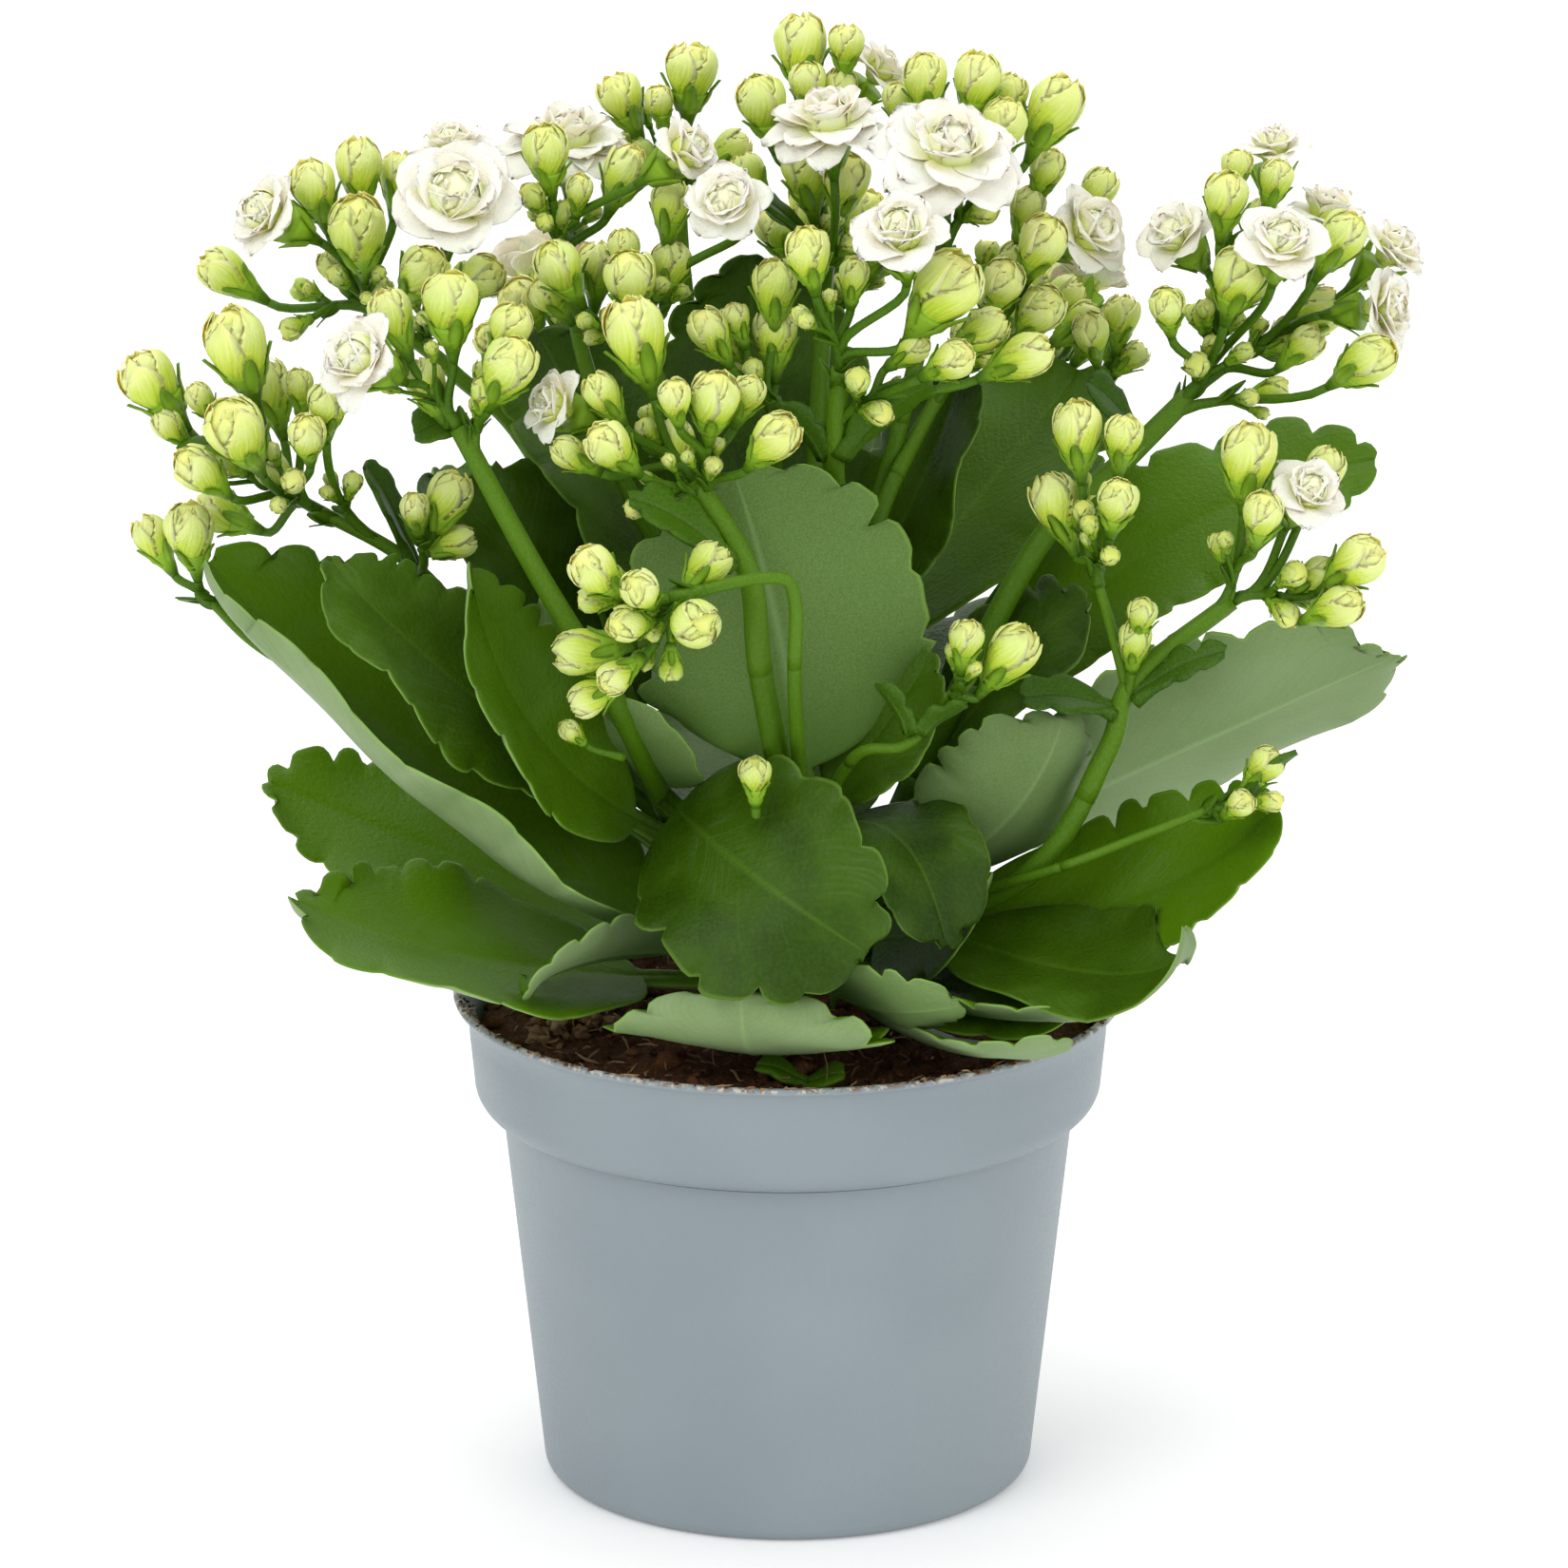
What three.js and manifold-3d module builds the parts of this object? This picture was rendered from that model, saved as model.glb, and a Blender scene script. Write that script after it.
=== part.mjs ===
// A potted flaming katy, the double white form of Kalanchoe blossfeldiana, in a plastic nursery pot.
// Millimetres, +Z up. The origin is the centre of the pot's underside and the front of the plant
// faces -Y.
import * as THREE from "three";
import { mergeVertices } from "three/addons/utils/BufferGeometryUtils.js";
import Module from "manifold-3d";

const wasm = await Module();
wasm.setup();

// Driving dimensions
const GAP = 0.3; // between pieces that only touch
const SLIVER = 0.04; // edges shorter than this are closed up after pieces are fused
const POT = {
  height: 78.5,
  lipRadius: 52.5,
  lipWidth: 2.6,
  lipDrop: 7,
  collarFoot: 49.2,
  collarRound: 4.4,
  seam: 60, // height where the body meets the collar
  bodyTop: 44.9,
  bodyFoot: 38.6,
  footRound: 2.6,
  wall: 1.2,
  floor: 1.8,
  sides: 24,
};
const DRAIN = { holes: 6, radius: 3, circle: 26 };
const SOIL = { foot: 2.1, edge: 73.6, mound: 2.6, crumb: 0.7, rings: 2 };
const STEM = { foot: 62, footRadius: 3.3, topRadius: 2.3, sides: 6, steps: 4 };
const STALK = { sides: 4, steps: 3, tipShare: 0.75 };
const BRANCH = { radius: 1, thin: 0.75, climb: 0.72, reach: 26 };
const BUD = { sides: 4, length: 2.1, tip: 1.15, tipShare: 0.42 };
const LEAF = { rows: 4, petiole: 0.16, petioleHalf: 1.8, petioleThick: 2.2, thick: 1.2, tooth: 0.1 };
const PETAL = { thick: 0.7, wide: 0.34, wideAt: 0.95 };

// The heads are set out as seen from the front, looking down by this angle: millimetres to the
// right, millimetres up across the line of sight from this height, and the depth along Y.
const SIGHT = { tilt: 16.3, height: 111.6 };

const vec = (p) => new THREE.Vector3(...p);
const radians = THREE.MathUtils.degToRad;

function seen(right, up, depth) {
  const tilt = radians(SIGHT.tilt);
  return vec([right, depth, SIGHT.height + (up - depth * Math.sin(tilt)) / Math.cos(tilt)]);
}

// Solids
function solidOf(geometry) {
  const bare = geometry.index ? geometry.toNonIndexed() : geometry;
  const plain = new THREE.BufferGeometry().setAttribute("position", bare.getAttribute("position"));
  const merged = mergeVertices(plain, 1e-4);
  return new wasm.Manifold(
    new wasm.Mesh({
      numProp: 3,
      vertProperties: merged.attributes.position.array,
      triVerts: new Uint32Array(merged.index.array),
    }),
  );
}

function solidFromFaces(points, faces) {
  const geometry = new THREE.BufferGeometry();
  geometry.setAttribute("position", new THREE.Float32BufferAttribute(points.flat(), 3));
  geometry.setIndex(faces.flat());
  return solidOf(geometry);
}

const fuse = (solids) => solids.reduce((whole, next) => whole.add(next)).asOriginal().simplify(SLIVER);

// The largest body of a fused piece: sealed slivers between crossing leaves are filled
const largest = (whole) => whole.decompose().reduce((a, b) => (b.volume() > a.volume() ? b : a));

// A round bar through a row of centres, with a radius at each and, where ways gives it, the way
// that each ring faces
function bar(centres, radii, sides, ways = null) {
  const points = [];
  const faces = [];
  let side = null;
  centres.forEach((centre, row) => {
    const before = centres[Math.max(0, row - 1)];
    const after = centres[Math.min(centres.length - 1, row + 1)];
    const along = ways ? ways[row] : after.clone().sub(before).normalize();
    if (!side) side = Math.abs(along.x) < 0.8 ? vec([1, 0, 0]) : vec([0, 1, 0]);
    side = side.clone().addScaledVector(along, -side.dot(along)).normalize();
    const across = along.clone().cross(side);
    for (let k = 0; k < sides; k += 1) {
      const angle = (2 * Math.PI * k) / sides;
      const rim = centre.clone().addScaledVector(side, radii[row] * Math.cos(angle));
      points.push(rim.addScaledVector(across, radii[row] * Math.sin(angle)).toArray());
    }
  });
  const last = (centres.length - 1) * sides;
  for (let row = 0; row < last; row += sides)
    for (let k = 0; k < sides; k += 1) {
      const a = row + k;
      const b = row + ((k + 1) % sides);
      faces.push([a, b, b + sides], [a, b + sides, a + sides]);
    }
  for (let k = 1; k < sides - 1; k += 1) faces.push([0, k + 1, k], [last, last + k, last + k + 1]);
  return solidFromFaces(points, faces);
}

const curveThrough = (points) => new THREE.CatmullRomCurve3(points, false, "catmullrom", 0.5);

// Part of a curve as a bar that tapers from one radius to another
function curvedBar(curve, from, to, steps, foot, top, sides) {
  const shares = Array.from({ length: steps + 1 }, (_, i) => i / steps);
  const stations = shares.map((share) => from + (to - from) * share);
  return bar(
    stations.map((t) => curve.getPoint(t)),
    shares.map((share) => foot + (top - foot) * share),
    sides,
    stations.map((t) => curve.getTangent(t)),
  );
}

// Pot: a thin turned shell with a collar, an out-turned lip and drain holes
function makePot() {
  const { height, lipRadius, lipWidth, lipDrop, collarFoot, collarRound, seam, wall, floor } = POT;
  const { bodyTop, bodyFoot, footRound } = POT;
  const profile = [];
  const point = (radius, z) => profile.push(new THREE.Vector2(radius, z));
  const arc = (radius, z, across, up, from, to, steps) => {
    for (let i = 0; i <= steps; i += 1) {
      const angle = radians(from + ((to - from) * i) / steps);
      point(radius + across * Math.cos(angle), z + up * Math.sin(angle));
    }
  };
  point(0, 0);
  arc(bodyFoot - footRound, footRound, footRound, footRound, -90, -6, 2);
  arc(bodyTop, seam + collarRound, collarFoot - bodyTop, collarRound, -90, 0, 2);
  arc(lipRadius, height - lipDrop, lipWidth, lipDrop - 0.6, 180, 95, 2);
  point(lipRadius - 0.2, height);
  point(lipRadius - wall, height);
  point(lipRadius - lipWidth - wall, height - lipDrop);
  arc(bodyTop - wall, seam + collarRound, collarFoot - bodyTop, collarRound - 0.4, 0, -90, 2);
  point(bodyFoot - wall, floor);
  point(0, floor);
  const shell = solidOf(new THREE.LatheGeometry(profile, POT.sides).rotateX(Math.PI / 2));
  const drains = Array.from({ length: DRAIN.holes }, (_, i) => {
    const angle = (2 * Math.PI * (i + 0.5)) / DRAIN.holes;
    const hole = new THREE.CylinderGeometry(DRAIN.radius, DRAIN.radius, 3 * floor, 6);
    hole.rotateX(Math.PI / 2);
    hole.translate(DRAIN.circle * Math.cos(angle), DRAIN.circle * Math.sin(angle), floor / 2);
    return solidOf(hole);
  });
  return shell.subtract(fuse(drains));
}

// Leafy stems, as points that each one passes through from its foot in the soil to its top
const STEMS = {
  left: [[-9, -3, STEM.foot], [-11, -3, 88], [-20, -4, 112]],
  right: [[9, -3, STEM.foot], [11, -3, 88], [20, -4, 114]],
  front: [[0, -12, STEM.foot], [1, -14, 88], [3, -18, 110]],
  centre: [[1, 5, STEM.foot], [1, 5, 95], [2, 6, 126]],
  back: [[0, 15, STEM.foot], [0, 17, 90], [-2, 26, 112]],
};
const stemCurves = Object.fromEntries(
  Object.entries(STEMS).map(([name, points]) => [name, curveThrough(points.map(vec))]),
);

// Potting soil: a plug that fills the pot, crumbly on top, with a plain hole for each stem
function crumbs(x, y) {
  const broad = Math.sin(x * 0.41 + 1.3) * Math.cos(y * 0.37);
  return SOIL.crumb * (broad + Math.sin(x * 0.93 - y * 0.71 + 0.6));
}

function makeSoil() {
  const inset = POT.wall + GAP;
  const edge = POT.collarFoot - inset - 0.2;
  const walls = [
    [POT.bodyFoot - inset - 0.4, SOIL.foot],
    [POT.bodyTop - inset - 0.4, POT.seam],
    [edge - 0.3, POT.seam + POT.collarRound],
    [edge, SOIL.edge],
  ];
  const sides = POT.sides;
  const points = [[0, 0, SOIL.foot]];
  const ring = (radius, height) => {
    for (let k = 0; k < sides; k += 1) {
      const x = radius * Math.cos((2 * Math.PI * k) / sides);
      const y = radius * Math.sin((2 * Math.PI * k) / sides);
      points.push([x, y, height(x, y)]);
    }
  };
  walls.forEach(([radius, z]) => ring(radius, () => z));
  for (let i = SOIL.rings; i >= 1; i -= 1) {
    const share = i / (SOIL.rings + 1);
    ring(edge * share, (x, y) => SOIL.edge + SOIL.mound * (1 - share ** 2) + crumbs(x, y));
  }
  points.push([0, 0, SOIL.edge + SOIL.mound]);
  const faces = [];
  const top = points.length - 1;
  for (let k = 0; k < sides; k += 1) {
    const next = (k + 1) % sides;
    faces.push([0, 1 + next, 1 + k], [top - sides + k, top - sides + next, top]);
    for (let row = 1; row + 2 * sides <= top; row += sides) {
      const [a, b] = [row + k, row + next];
      faces.push([a, b, b + sides], [a, b + sides, a + sides]);
    }
  }
  const holes = Object.values(STEMS).map(([[x, y, z]]) => {
    const clear = STEM.footRadius + 2 * GAP;
    const hole = new THREE.CylinderGeometry(clear + 2, clear, 30, 6).rotateX(Math.PI / 2);
    return solidOf(hole.translate(x, y, z + 15 - 3 * GAP));
  });
  return solidFromFaces(points, faces).subtract(fuse(holes));
}

// Leaf: an arched rib with two halves that curl, and an edge scalloped from a third of the way out.
// Seen along the rib from the stem, a positive roll lifts the right-hand side.
function halfWidth(t, width) {
  const out = Math.max(0, (t - LEAF.petiole) / (1 - LEAF.petiole));
  const blade = 0.99 * width * out ** 0.5 * (1 - out) ** 0.5;
  return Math.hypot(LEAF.petioleHalf * (1 - out), blade) * (t < 1 ? 1 : 0);
}

function makeLeaf(root, leaf) {
  const tip = vec(leaf.tip);
  const bend = vec(leaf.mid).multiplyScalar(2).addScaledVector(root, -0.5).addScaledVector(tip, -0.5);
  const rib = new THREE.QuadraticBezierCurve3(root, bend, tip);
  const level = tip.clone().sub(root).setZ(0).normalize().cross(vec([0, 0, 1]));
  const roll = radians(leaf.roll);
  const columns = Math.max(...leaf.curl) > 40 ? [-1, -0.5, 0, 0.5, 1] : [-1, 0, 1];
  const place = (t, v, reach, lift) => {
    const along = rib.getTangent(t);
    const flat = level.clone().addScaledVector(along, -level.dot(along)).normalize();
    const normal = flat.clone().cross(along);
    const side = flat.clone().multiplyScalar(Math.cos(roll)).addScaledVector(normal, Math.sin(roll));
    const up = normal.multiplyScalar(Math.cos(roll)).addScaledVector(flat, -Math.sin(roll));
    const curl = radians(leaf.curl[v < 0 ? 0 : 1]);
    const lean = curl * v;
    const across = (reach / curl) * Math.sin(lean) - lift * Math.sin(lean);
    const rise = (reach / curl) * (1 - Math.cos(lean)) + lift * Math.cos(lean);
    return rib.getPoint(t).addScaledVector(side, across).addScaledVector(up, rise).toArray();
  };
  const { tooth } = LEAF;
  const rows = leaf.width < 34 ? LEAF.rows - 1 : LEAF.rows;
  const stride = columns.length + 2;
  const points = [];
  [1, -1].forEach((face) => {
    for (let row = 0; row < rows; row += 1) {
      const shares = [row / rows, (row + 0.5) / rows].map((share) => share ** 0.9);
      const thick = 0.5 * face * (row === 0 ? LEAF.petioleThick : LEAF.thick);
      const [inner, outer] = shares.map((t) => halfWidth(t, leaf.width));
      const cut = shares[0] > 0.3 ? tooth : 0;
      columns.forEach((v) => {
        const reach = Math.abs(v) === 1 ? inner * (1 - cut) : inner;
        points.push(place(shares[0], v, reach, thick));
      });
      [-1, 1].forEach((v) => points.push(place(shares[1], v, outer * (1 + tooth), 0.5 * face * LEAF.thick)));
    }
    points.push(place(1, 0, 0, 0.5 * face * LEAF.thick));
  });
  const lower = points.length / 2;
  const at = (row, column) => (row === rows ? rows * stride : row * stride + column);
  const faces = [];
  const plate = (...corners) => {
    const ids = corners.map(([row, column]) => at(row, column));
    if (new Set(ids).size < 3) return;
    faces.push(ids, ids.map((id) => id + lower).reverse());
  };
  const wall = (a, b) => {
    const [start, end] = [at(...a), at(...b)];
    faces.push([start, start + lower, end + lower], [start, end + lower, end]);
  };
  const right = columns.length - 1;
  const [leftTooth, rightTooth] = [right + 1, right + 2];
  for (let row = 0; row < rows; row += 1) {
    const next = row + 1;
    for (let column = 1; column < right - 1; column += 1) {
      const near = column < right / 2 ? column : column + 1;
      plate([row, column], [row, column + 1], [next, near === column ? column + 1 : column]);
      if (near === column) plate([row, column], [next, column + 1], [next, column]);
      else plate([row, column + 1], [next, column + 1], [next, column]);
    }
    if (row === 0) {
      plate([0, 0], [0, 1], [1, 1]);
      plate([0, 0], [1, 1], [1, 0]);
      plate([0, right - 1], [0, right], [1, right]);
      plate([0, right - 1], [1, right], [1, right - 1]);
      wall([1, 0], [0, 0]);
      wall([0, right], [1, right]);
      continue;
    }
    plate([row, 0], [row, 1], [row, leftTooth]);
    plate([row, 1], [next, 1], [row, leftTooth]);
    plate([next, 1], [next, 0], [row, leftTooth]);
    plate([row, right - 1], [row, right], [row, rightTooth]);
    plate([row, right - 1], [row, rightTooth], [next, right - 1]);
    plate([next, right - 1], [row, rightTooth], [next, right]);
    wall([row, leftTooth], [row, 0]);
    wall([next, 0], [row, leftTooth]);
    wall([row, right], [row, rightTooth]);
    wall([row, rightTooth], [next, right]);
  }
  for (let column = 0; column < right; column += 1) wall([0, column], [0, column + 1]);
  return solidFromFaces(points, faces);
}

// Each leaf: its stem, the share of the stem's length that it leaves at, a point midway along its
// rib, its tip, width, roll, and the curl of its left and right halves in degrees
const LEAVES = [
  { stem: "left", from: 0.42, mid: [-47, -17, 113], tip: [-89, -14, 151], width: 50, roll: 34, curl: [80, 20] },
  { stem: "left", from: 0.45, mid: [-52, 4, 98], tip: [-81, 6, 110], width: 29, roll: 24, curl: [15, 15] },
  { stem: "left", from: 0.35, mid: [-48, -26, 91], tip: [-75, -28, 101], width: 39, roll: 18, curl: [24, 25] },
  { stem: "left", from: 0.72, mid: [-49, -27, 134], tip: [-69, -30, 155], width: 27, roll: 50, curl: [20, 15] },
  { stem: "left", from: 0.8, mid: [-38, -30, 128], tip: [-48, -33, 155], width: 26, roll: 66, curl: [30, 45] },
  { stem: "left", from: 1, mid: [-32, -12, 125], tip: [-37, -15, 145], width: 27, roll: 0, curl: [20, 20] },
  { stem: "left", from: 0.97, mid: [-36, 1, 138], tip: [-46, 5, 161], width: 34, roll: 24, curl: [20, 20] },
  { stem: "left", from: 0.45, mid: [-30, -30, 93], tip: [-40, -38, 89], width: 17, roll: -38, curl: [30, 30] },
  { stem: "left", from: 1, mid: [-7, -39, 110], tip: [12, -48, 99], width: 36, roll: -50, curl: [20, 26] },
  { stem: "front", from: 0.4, mid: [-5, -40, 81], tip: [-7, -50, 93], width: 43, roll: 0, curl: [18, 16] },
  { stem: "front", from: 0.5, mid: [12, -38, 88], tip: [26, -48, 91], width: 19, roll: 40, curl: [20, 20] },
  { stem: "front", from: 0.95, mid: [16, -31, 112.5], tip: [24, -41, 98], width: 26, roll: 0, curl: [22, 22] },
  { stem: "left", from: 1, mid: [-22, -18, 122], tip: [-29, -25, 133], width: 20, roll: 20, curl: [25, 25] },
  { stem: "front", from: 1.0, mid: [-1, -21, 140], tip: [-8, -19, 166], width: 46, roll: -86, curl: [18, 18] },
  { stem: "front", from: 1.0, mid: [14, -19, 125], tip: [22, -19, 138], width: 19, roll: -50, curl: [25, 25] },
  { stem: "right", from: 0.42, mid: [28, -22, 84], tip: [46, -30, 86], width: 24, roll: -20, curl: [20, 20] },
  { stem: "right", from: 0.4, mid: [26, -31, 85], tip: [44, -43, 87], width: 18, roll: 20, curl: [20, 20] },
  { stem: "right", from: 0.33, mid: [25, -37, 80.5], tip: [43, -47, 84], width: 14, roll: 20, curl: [20, 20] },
  { stem: "right", from: 0.5, mid: [22, -20, 94], tip: [31, -24, 104], width: 22, roll: -50, curl: [20, 20] },
  { stem: "right", from: 0.6, mid: [32, -18, 110], tip: [42, -20, 128], width: 30, roll: 40, curl: [50, 40] },
  { stem: "right", from: 0.65, mid: [58, 7, 114], tip: [94, 5, 131], width: 56, roll: 42, curl: [15, 20] },
  { stem: "right", from: 0.55, mid: [50, -16, 97], tip: [75, -23, 115], width: 31, roll: -36, curl: [25, 20] },
  { stem: "right", from: 0.6, mid: [46, -33, 91], tip: [62, -36, 97], width: 32, roll: -18, curl: [25, 25] },
  { stem: "right", from: 0.92, mid: [52, 18, 141], tip: [92, 22, 158], width: 29, roll: -30, curl: [15, 25] },
  { stem: "right", from: 0.85, mid: [33, -5, 130], tip: [46, -4, 142], width: 24, roll: -30, curl: [20, 20] },
  { stem: "centre", from: 0.55, mid: [11, 11, 110], tip: [21, 14, 128], width: 30, roll: 0, curl: [20, 20] },
  { stem: "centre", from: 0.9, mid: [30, 28, 150], tip: [46, 40, 168], width: 38, roll: -10, curl: [15, 15] },
  { stem: "centre", from: 0.95, mid: [18, 13, 150], tip: [27, 18, 173], width: 28, roll: -6, curl: [20, 20] },
  { stem: "centre", from: 0.92, mid: [-25, 16, 156], tip: [-39, 24, 178], width: 38, roll: 14, curl: [18, 18] },
  { stem: "centre", from: 0.98, mid: [-4, 22, 162], tip: [-6, 26, 190], width: 34, roll: 0, curl: [18, 18] },
  { stem: "back", from: 0.45, mid: [-34, 34, 92], tip: [-56, 44, 102], width: 40, roll: -8, curl: [18, 18] },
  { stem: "back", from: 0.6, mid: [-6, 48, 96], tip: [-12, 74, 104], width: 42, roll: 0, curl: [18, 18] },
  { stem: "back", from: 0.5, mid: [31, 42, 92], tip: [54, 57, 104], width: 40, roll: 8, curl: [18, 18] },
  { stem: "back", from: 0.85, mid: [-34, 46, 128], tip: [-56, 62, 146], width: 42, roll: -6, curl: [22, 22] },
  { stem: "back", from: 0.97, mid: [10, 54, 134], tip: [14, 78, 150], width: 42, roll: 0, curl: [22, 22] },
  { stem: "back", from: 0.75, mid: [40, 46, 124], tip: [64, 60, 138], width: 40, roll: 8, curl: [22, 22] },
];

// Flower sprays. path starts in its leafy stem, or in another spray's stalk where host names one,
// and ends where the branches part. The spray takes over from the stem at the share join of the
// path. Points of the path, buds and blooms are right, up and depth as seen; a bud's depth follows
// from the round of the head, so it gives right, up and half width. A bloom gives its middle, the
// way it faces, its span and, where it is fully open, open: true.
const SPRAYS = [
  {
    name: "left_outer", stem: "left", from: 0.85, join: 0.5, radius: 1.4,
    path: [[-40, 13, -4], [-57, 33, -5], [-72, 42, -5]],
    buds: [[-98, 62, 4.5], [-84, 67, 4.9], [-80, 61, 3.7], [-84, 54, 4.7], [-90, 48, 3.5],
      [-88, 42, 3.4], [-70, 58, 3.3], [-73, 53, 3]],
    blooms: [],
  },
  {
    name: "left_low", stem: "left", from: 0.6, join: 0.45, radius: 1,
    path: [[-58, 9, 0], [-80, 20, -2], [-90, 29, -4]],
    buds: [[-92, 39, 4], [-98, 38, 3]],
    blooms: [],
  },
  {
    name: "left_sprig", host: "left_outer", from: 0.66, radius: 0.9,
    path: [[-56, 34, -9], [-56, 37, -12]],
    buds: [[-52, 44, 3.6], [-57, 42, 2.4], [-51, 37, 2.7]],
    blooms: [],
  },
  {
    name: "left_upper", stem: "left", from: 0.97, join: 0.4, radius: 1.5,
    path: [[-38, 48, 14], [-52, 64, 14], [-64, 73, 10]],
    buds: [[-87, 79, 3.6], [-73, 92, 3.7], [-66, 95, 3.7], [-66, 85, 4.6], [-56, 79, 3.9], [-60, 94, 3.2],
      [-47, 78, 3.5]],
    blooms: [
      { at: [-79, 87, 2], face: [-0.7, -0.4, 0.5], span: 15 },
      { at: [-51, 89, -2], face: [0.1, -0.75, 0.65], span: 21 },
      { at: [-52, 98, 14], face: [-0.1, -0.1, 1], span: 13 },
    ],
  },
  {
    name: "left_front", stem: "left", from: 0.9, join: 0.42, radius: 2,
    path: [[-26, 12, -27], [-38, 32, -28], [-50, 54, -21]],
    buds: [[-60, 71, 3.4], [-51, 73, 4.4], [-55, 61, 3.2], [-42, 69, 3.4], [-42, 63, 4.2]],
    blooms: [{ at: [-64, 64, -26], face: [-0.6, -0.6, 0.5], span: 16 }],
  },
  {
    name: "top_left", stem: "centre", from: 0.8, join: 0.5, radius: 1.5,
    path: [[-22, 40, 6], [-31, 64, 6], [-34, 80, 8]],
    buds: [[-37, 97, 3.8], [-32, 91, 2.2], [-25, 94, 3.5]],
    blooms: [
      { at: [-34, 101, 8], face: [0, -0.15, 1], span: 22, open: true },
      { at: [-16, 96, -2], face: [0.8, -0.3, 0.6], span: 13 },
    ],
  },
  {
    name: "top_left_back", stem: "centre", from: 0.9, join: 0.5, radius: 1.4,
    path: [[-12, 50, 18], [-16, 78, 25], [-17, 94, 28]],
    buds: [[-26, 107, 3.6], [-15, 111, 4.2], [-9, 99, 2.9]],
    blooms: [],
  },
  {
    name: "middle_left", stem: "front", from: 0.8, join: 0.35, radius: 2.1,
    path: [[-4, 16, -31], [-6, 32, -30], [-14, 46, -26]],
    buds: [[-27, 51, 3.6], [-17, 58, 2.6], [-17, 52, 3.1], [-11, 58, 3.9],
      [-2, 52, 3.6], [-23, 68, 4.7]],
    blooms: [{ at: [-35, 57, -24], face: [-0.8, -0.4, 0.4], span: 13 }],
  },
  {
    name: "inner_left", stem: "centre", from: 0.95, join: 0.5, radius: 1.4,
    path: [[-10, 40, 0], [-16, 54, -1], [-21, 65, -2]],
    buds: [[-35, 79, 3.7], [-24, 77, 4.1], [-18, 80, 3.3], [-18, 89, 3.2]],
    blooms: [{ at: [-9, 88, -10], face: [-0.2, -0.8, 0.6], span: 15 }],
  },
  {
    name: "crown_left", stem: "centre", from: 0.85, join: 0.5, radius: 1.4,
    path: [[-2, 36, -4], [-2, 48, -8], [-2, 59, -11]],
    buds: [[-12, 69, 3.2], [-2, 76, 3.5], [-2, 69, 3.5]],
    blooms: [],
  },
  {
    name: "crown", stem: "centre", from: 0.97, join: 0.5, radius: 1.7,
    path: [[4, 45, 10], [5, 64, 14], [6, 80, 17]],
    buds: [[2, 114, 4.2], [-4, 105, 4], [-6, 95, 2.8],
      [3, 95, 4.1], [9, 93, 3.8], [5, 88, 3.7]],
    blooms: [
      { at: [6, 102, 4], face: [-0.1, -0.2, 1], span: 21, open: true },
      { at: [14, 110, 20], face: [0.7, -0.1, 0.8], span: 12 },
    ],
  },
  {
    name: "crown_right", stem: "centre", from: 0.9, join: 0.5, radius: 1.5,
    path: [[14, 44, 8], [20, 66, 10], [24, 82, 10]],
    buds: [[21, 108, 3.5], [29, 108, 3.8], [34, 106, 3], [33, 101, 3.7], [41, 104, 4.3]],
    blooms: [{ at: [25, 97, -4], face: [0.15, -0.55, 0.85], span: 24, open: true }],
  },
  {
    name: "front_right", stem: "centre", from: 0.75, join: 0.45, radius: 2,
    path: [[7, 34, -6], [7, 50, -12], [8, 63, -17]],
    buds: [[3, 80, 3.5], [24, 75, 5.2], [30, 69, 3.3], [25, 64, 3.1], [36, 65, 3.6]],
    blooms: [{ at: [17, 82, -26], face: [-0.1, -0.55, 0.9], span: 16 }],
  },
  {
    name: "middle_right", stem: "centre", from: 0.7, join: 0.5, radius: 1.5,
    path: [[13, 38, 2], [20, 54, 10], [27, 66, 15]],
    buds: [[33, 77, 3.4], [39, 73, 3.7], [43, 76, 3], [39, 83, 3.9],
      [48, 92, 2.9], [46, 72, 3.1]],
    blooms: [{ at: [46, 85, 6], face: [0.7, -0.5, 0.5], span: 16 }],
  },
  {
    name: "right_outer", stem: "right", from: 0.95, join: 0.4, radius: 2.1,
    path: [[38, 36, 0], [52, 50, 4], [62, 60, 8]],
    buds: [[69, 95, 2.6], [67, 90, 3.6], [73, 87, 3], [69, 78, 4.2], [85, 84, 3.7],
      [82, 73, 3.9], [89, 65, 3.9], [58, 73, 2.9]],
    blooms: [
      { at: [75, 98, 18], face: [0, -0.1, 1], span: 12 },
      { at: [60, 84, 2], face: [-0.5, -0.5, 0.7], span: 14 },
      { at: [75, 82, -8], face: [0.1, -0.6, 0.8], span: 15 },
      { at: [83, 88, 14], face: [0.2, 0, 1], span: 13 },
      { at: [93, 82, 8], face: [0.7, -0.2, 0.7], span: 13 },
      { at: [91, 73, 0], face: [0.9, -0.4, 0.2], span: 15 },
    ],
  },
  {
    name: "right_back", host: "right_outer", from: 0.75, radius: 1,
    path: [[51, 56, 14], [50, 62, 20]],
    buds: [[52, 73, 3], [47, 70, 3]],
    blooms: [],
  },
  {
    name: "right_front", stem: "right", from: 0.45, join: 0.4, radius: 1.9,
    path: [[37, -14, -20], [49, 5, -20], [53, 16, -19], [68, 28, -16]],
    buds: [[70, 50, 4.4], [72, 41, 3.2], [82, 48, 3.2], [87, 34, 3.9], [84, 27, 3.3]],
    blooms: [{ at: [79, 44, -18], face: [0.3, -0.6, 0.7], span: 13 }],
  },
  {
    name: "right_fork", host: "right_front", from: 0.72, radius: 1,
    path: [[50, 22, -19], [47, 32, -18]],
    buds: [[44, 54, 3.9], [51, 53, 3.1], [41, 43, 3.9], [50, 43, 3.3]],
    blooms: [],
  },
  {
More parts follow.
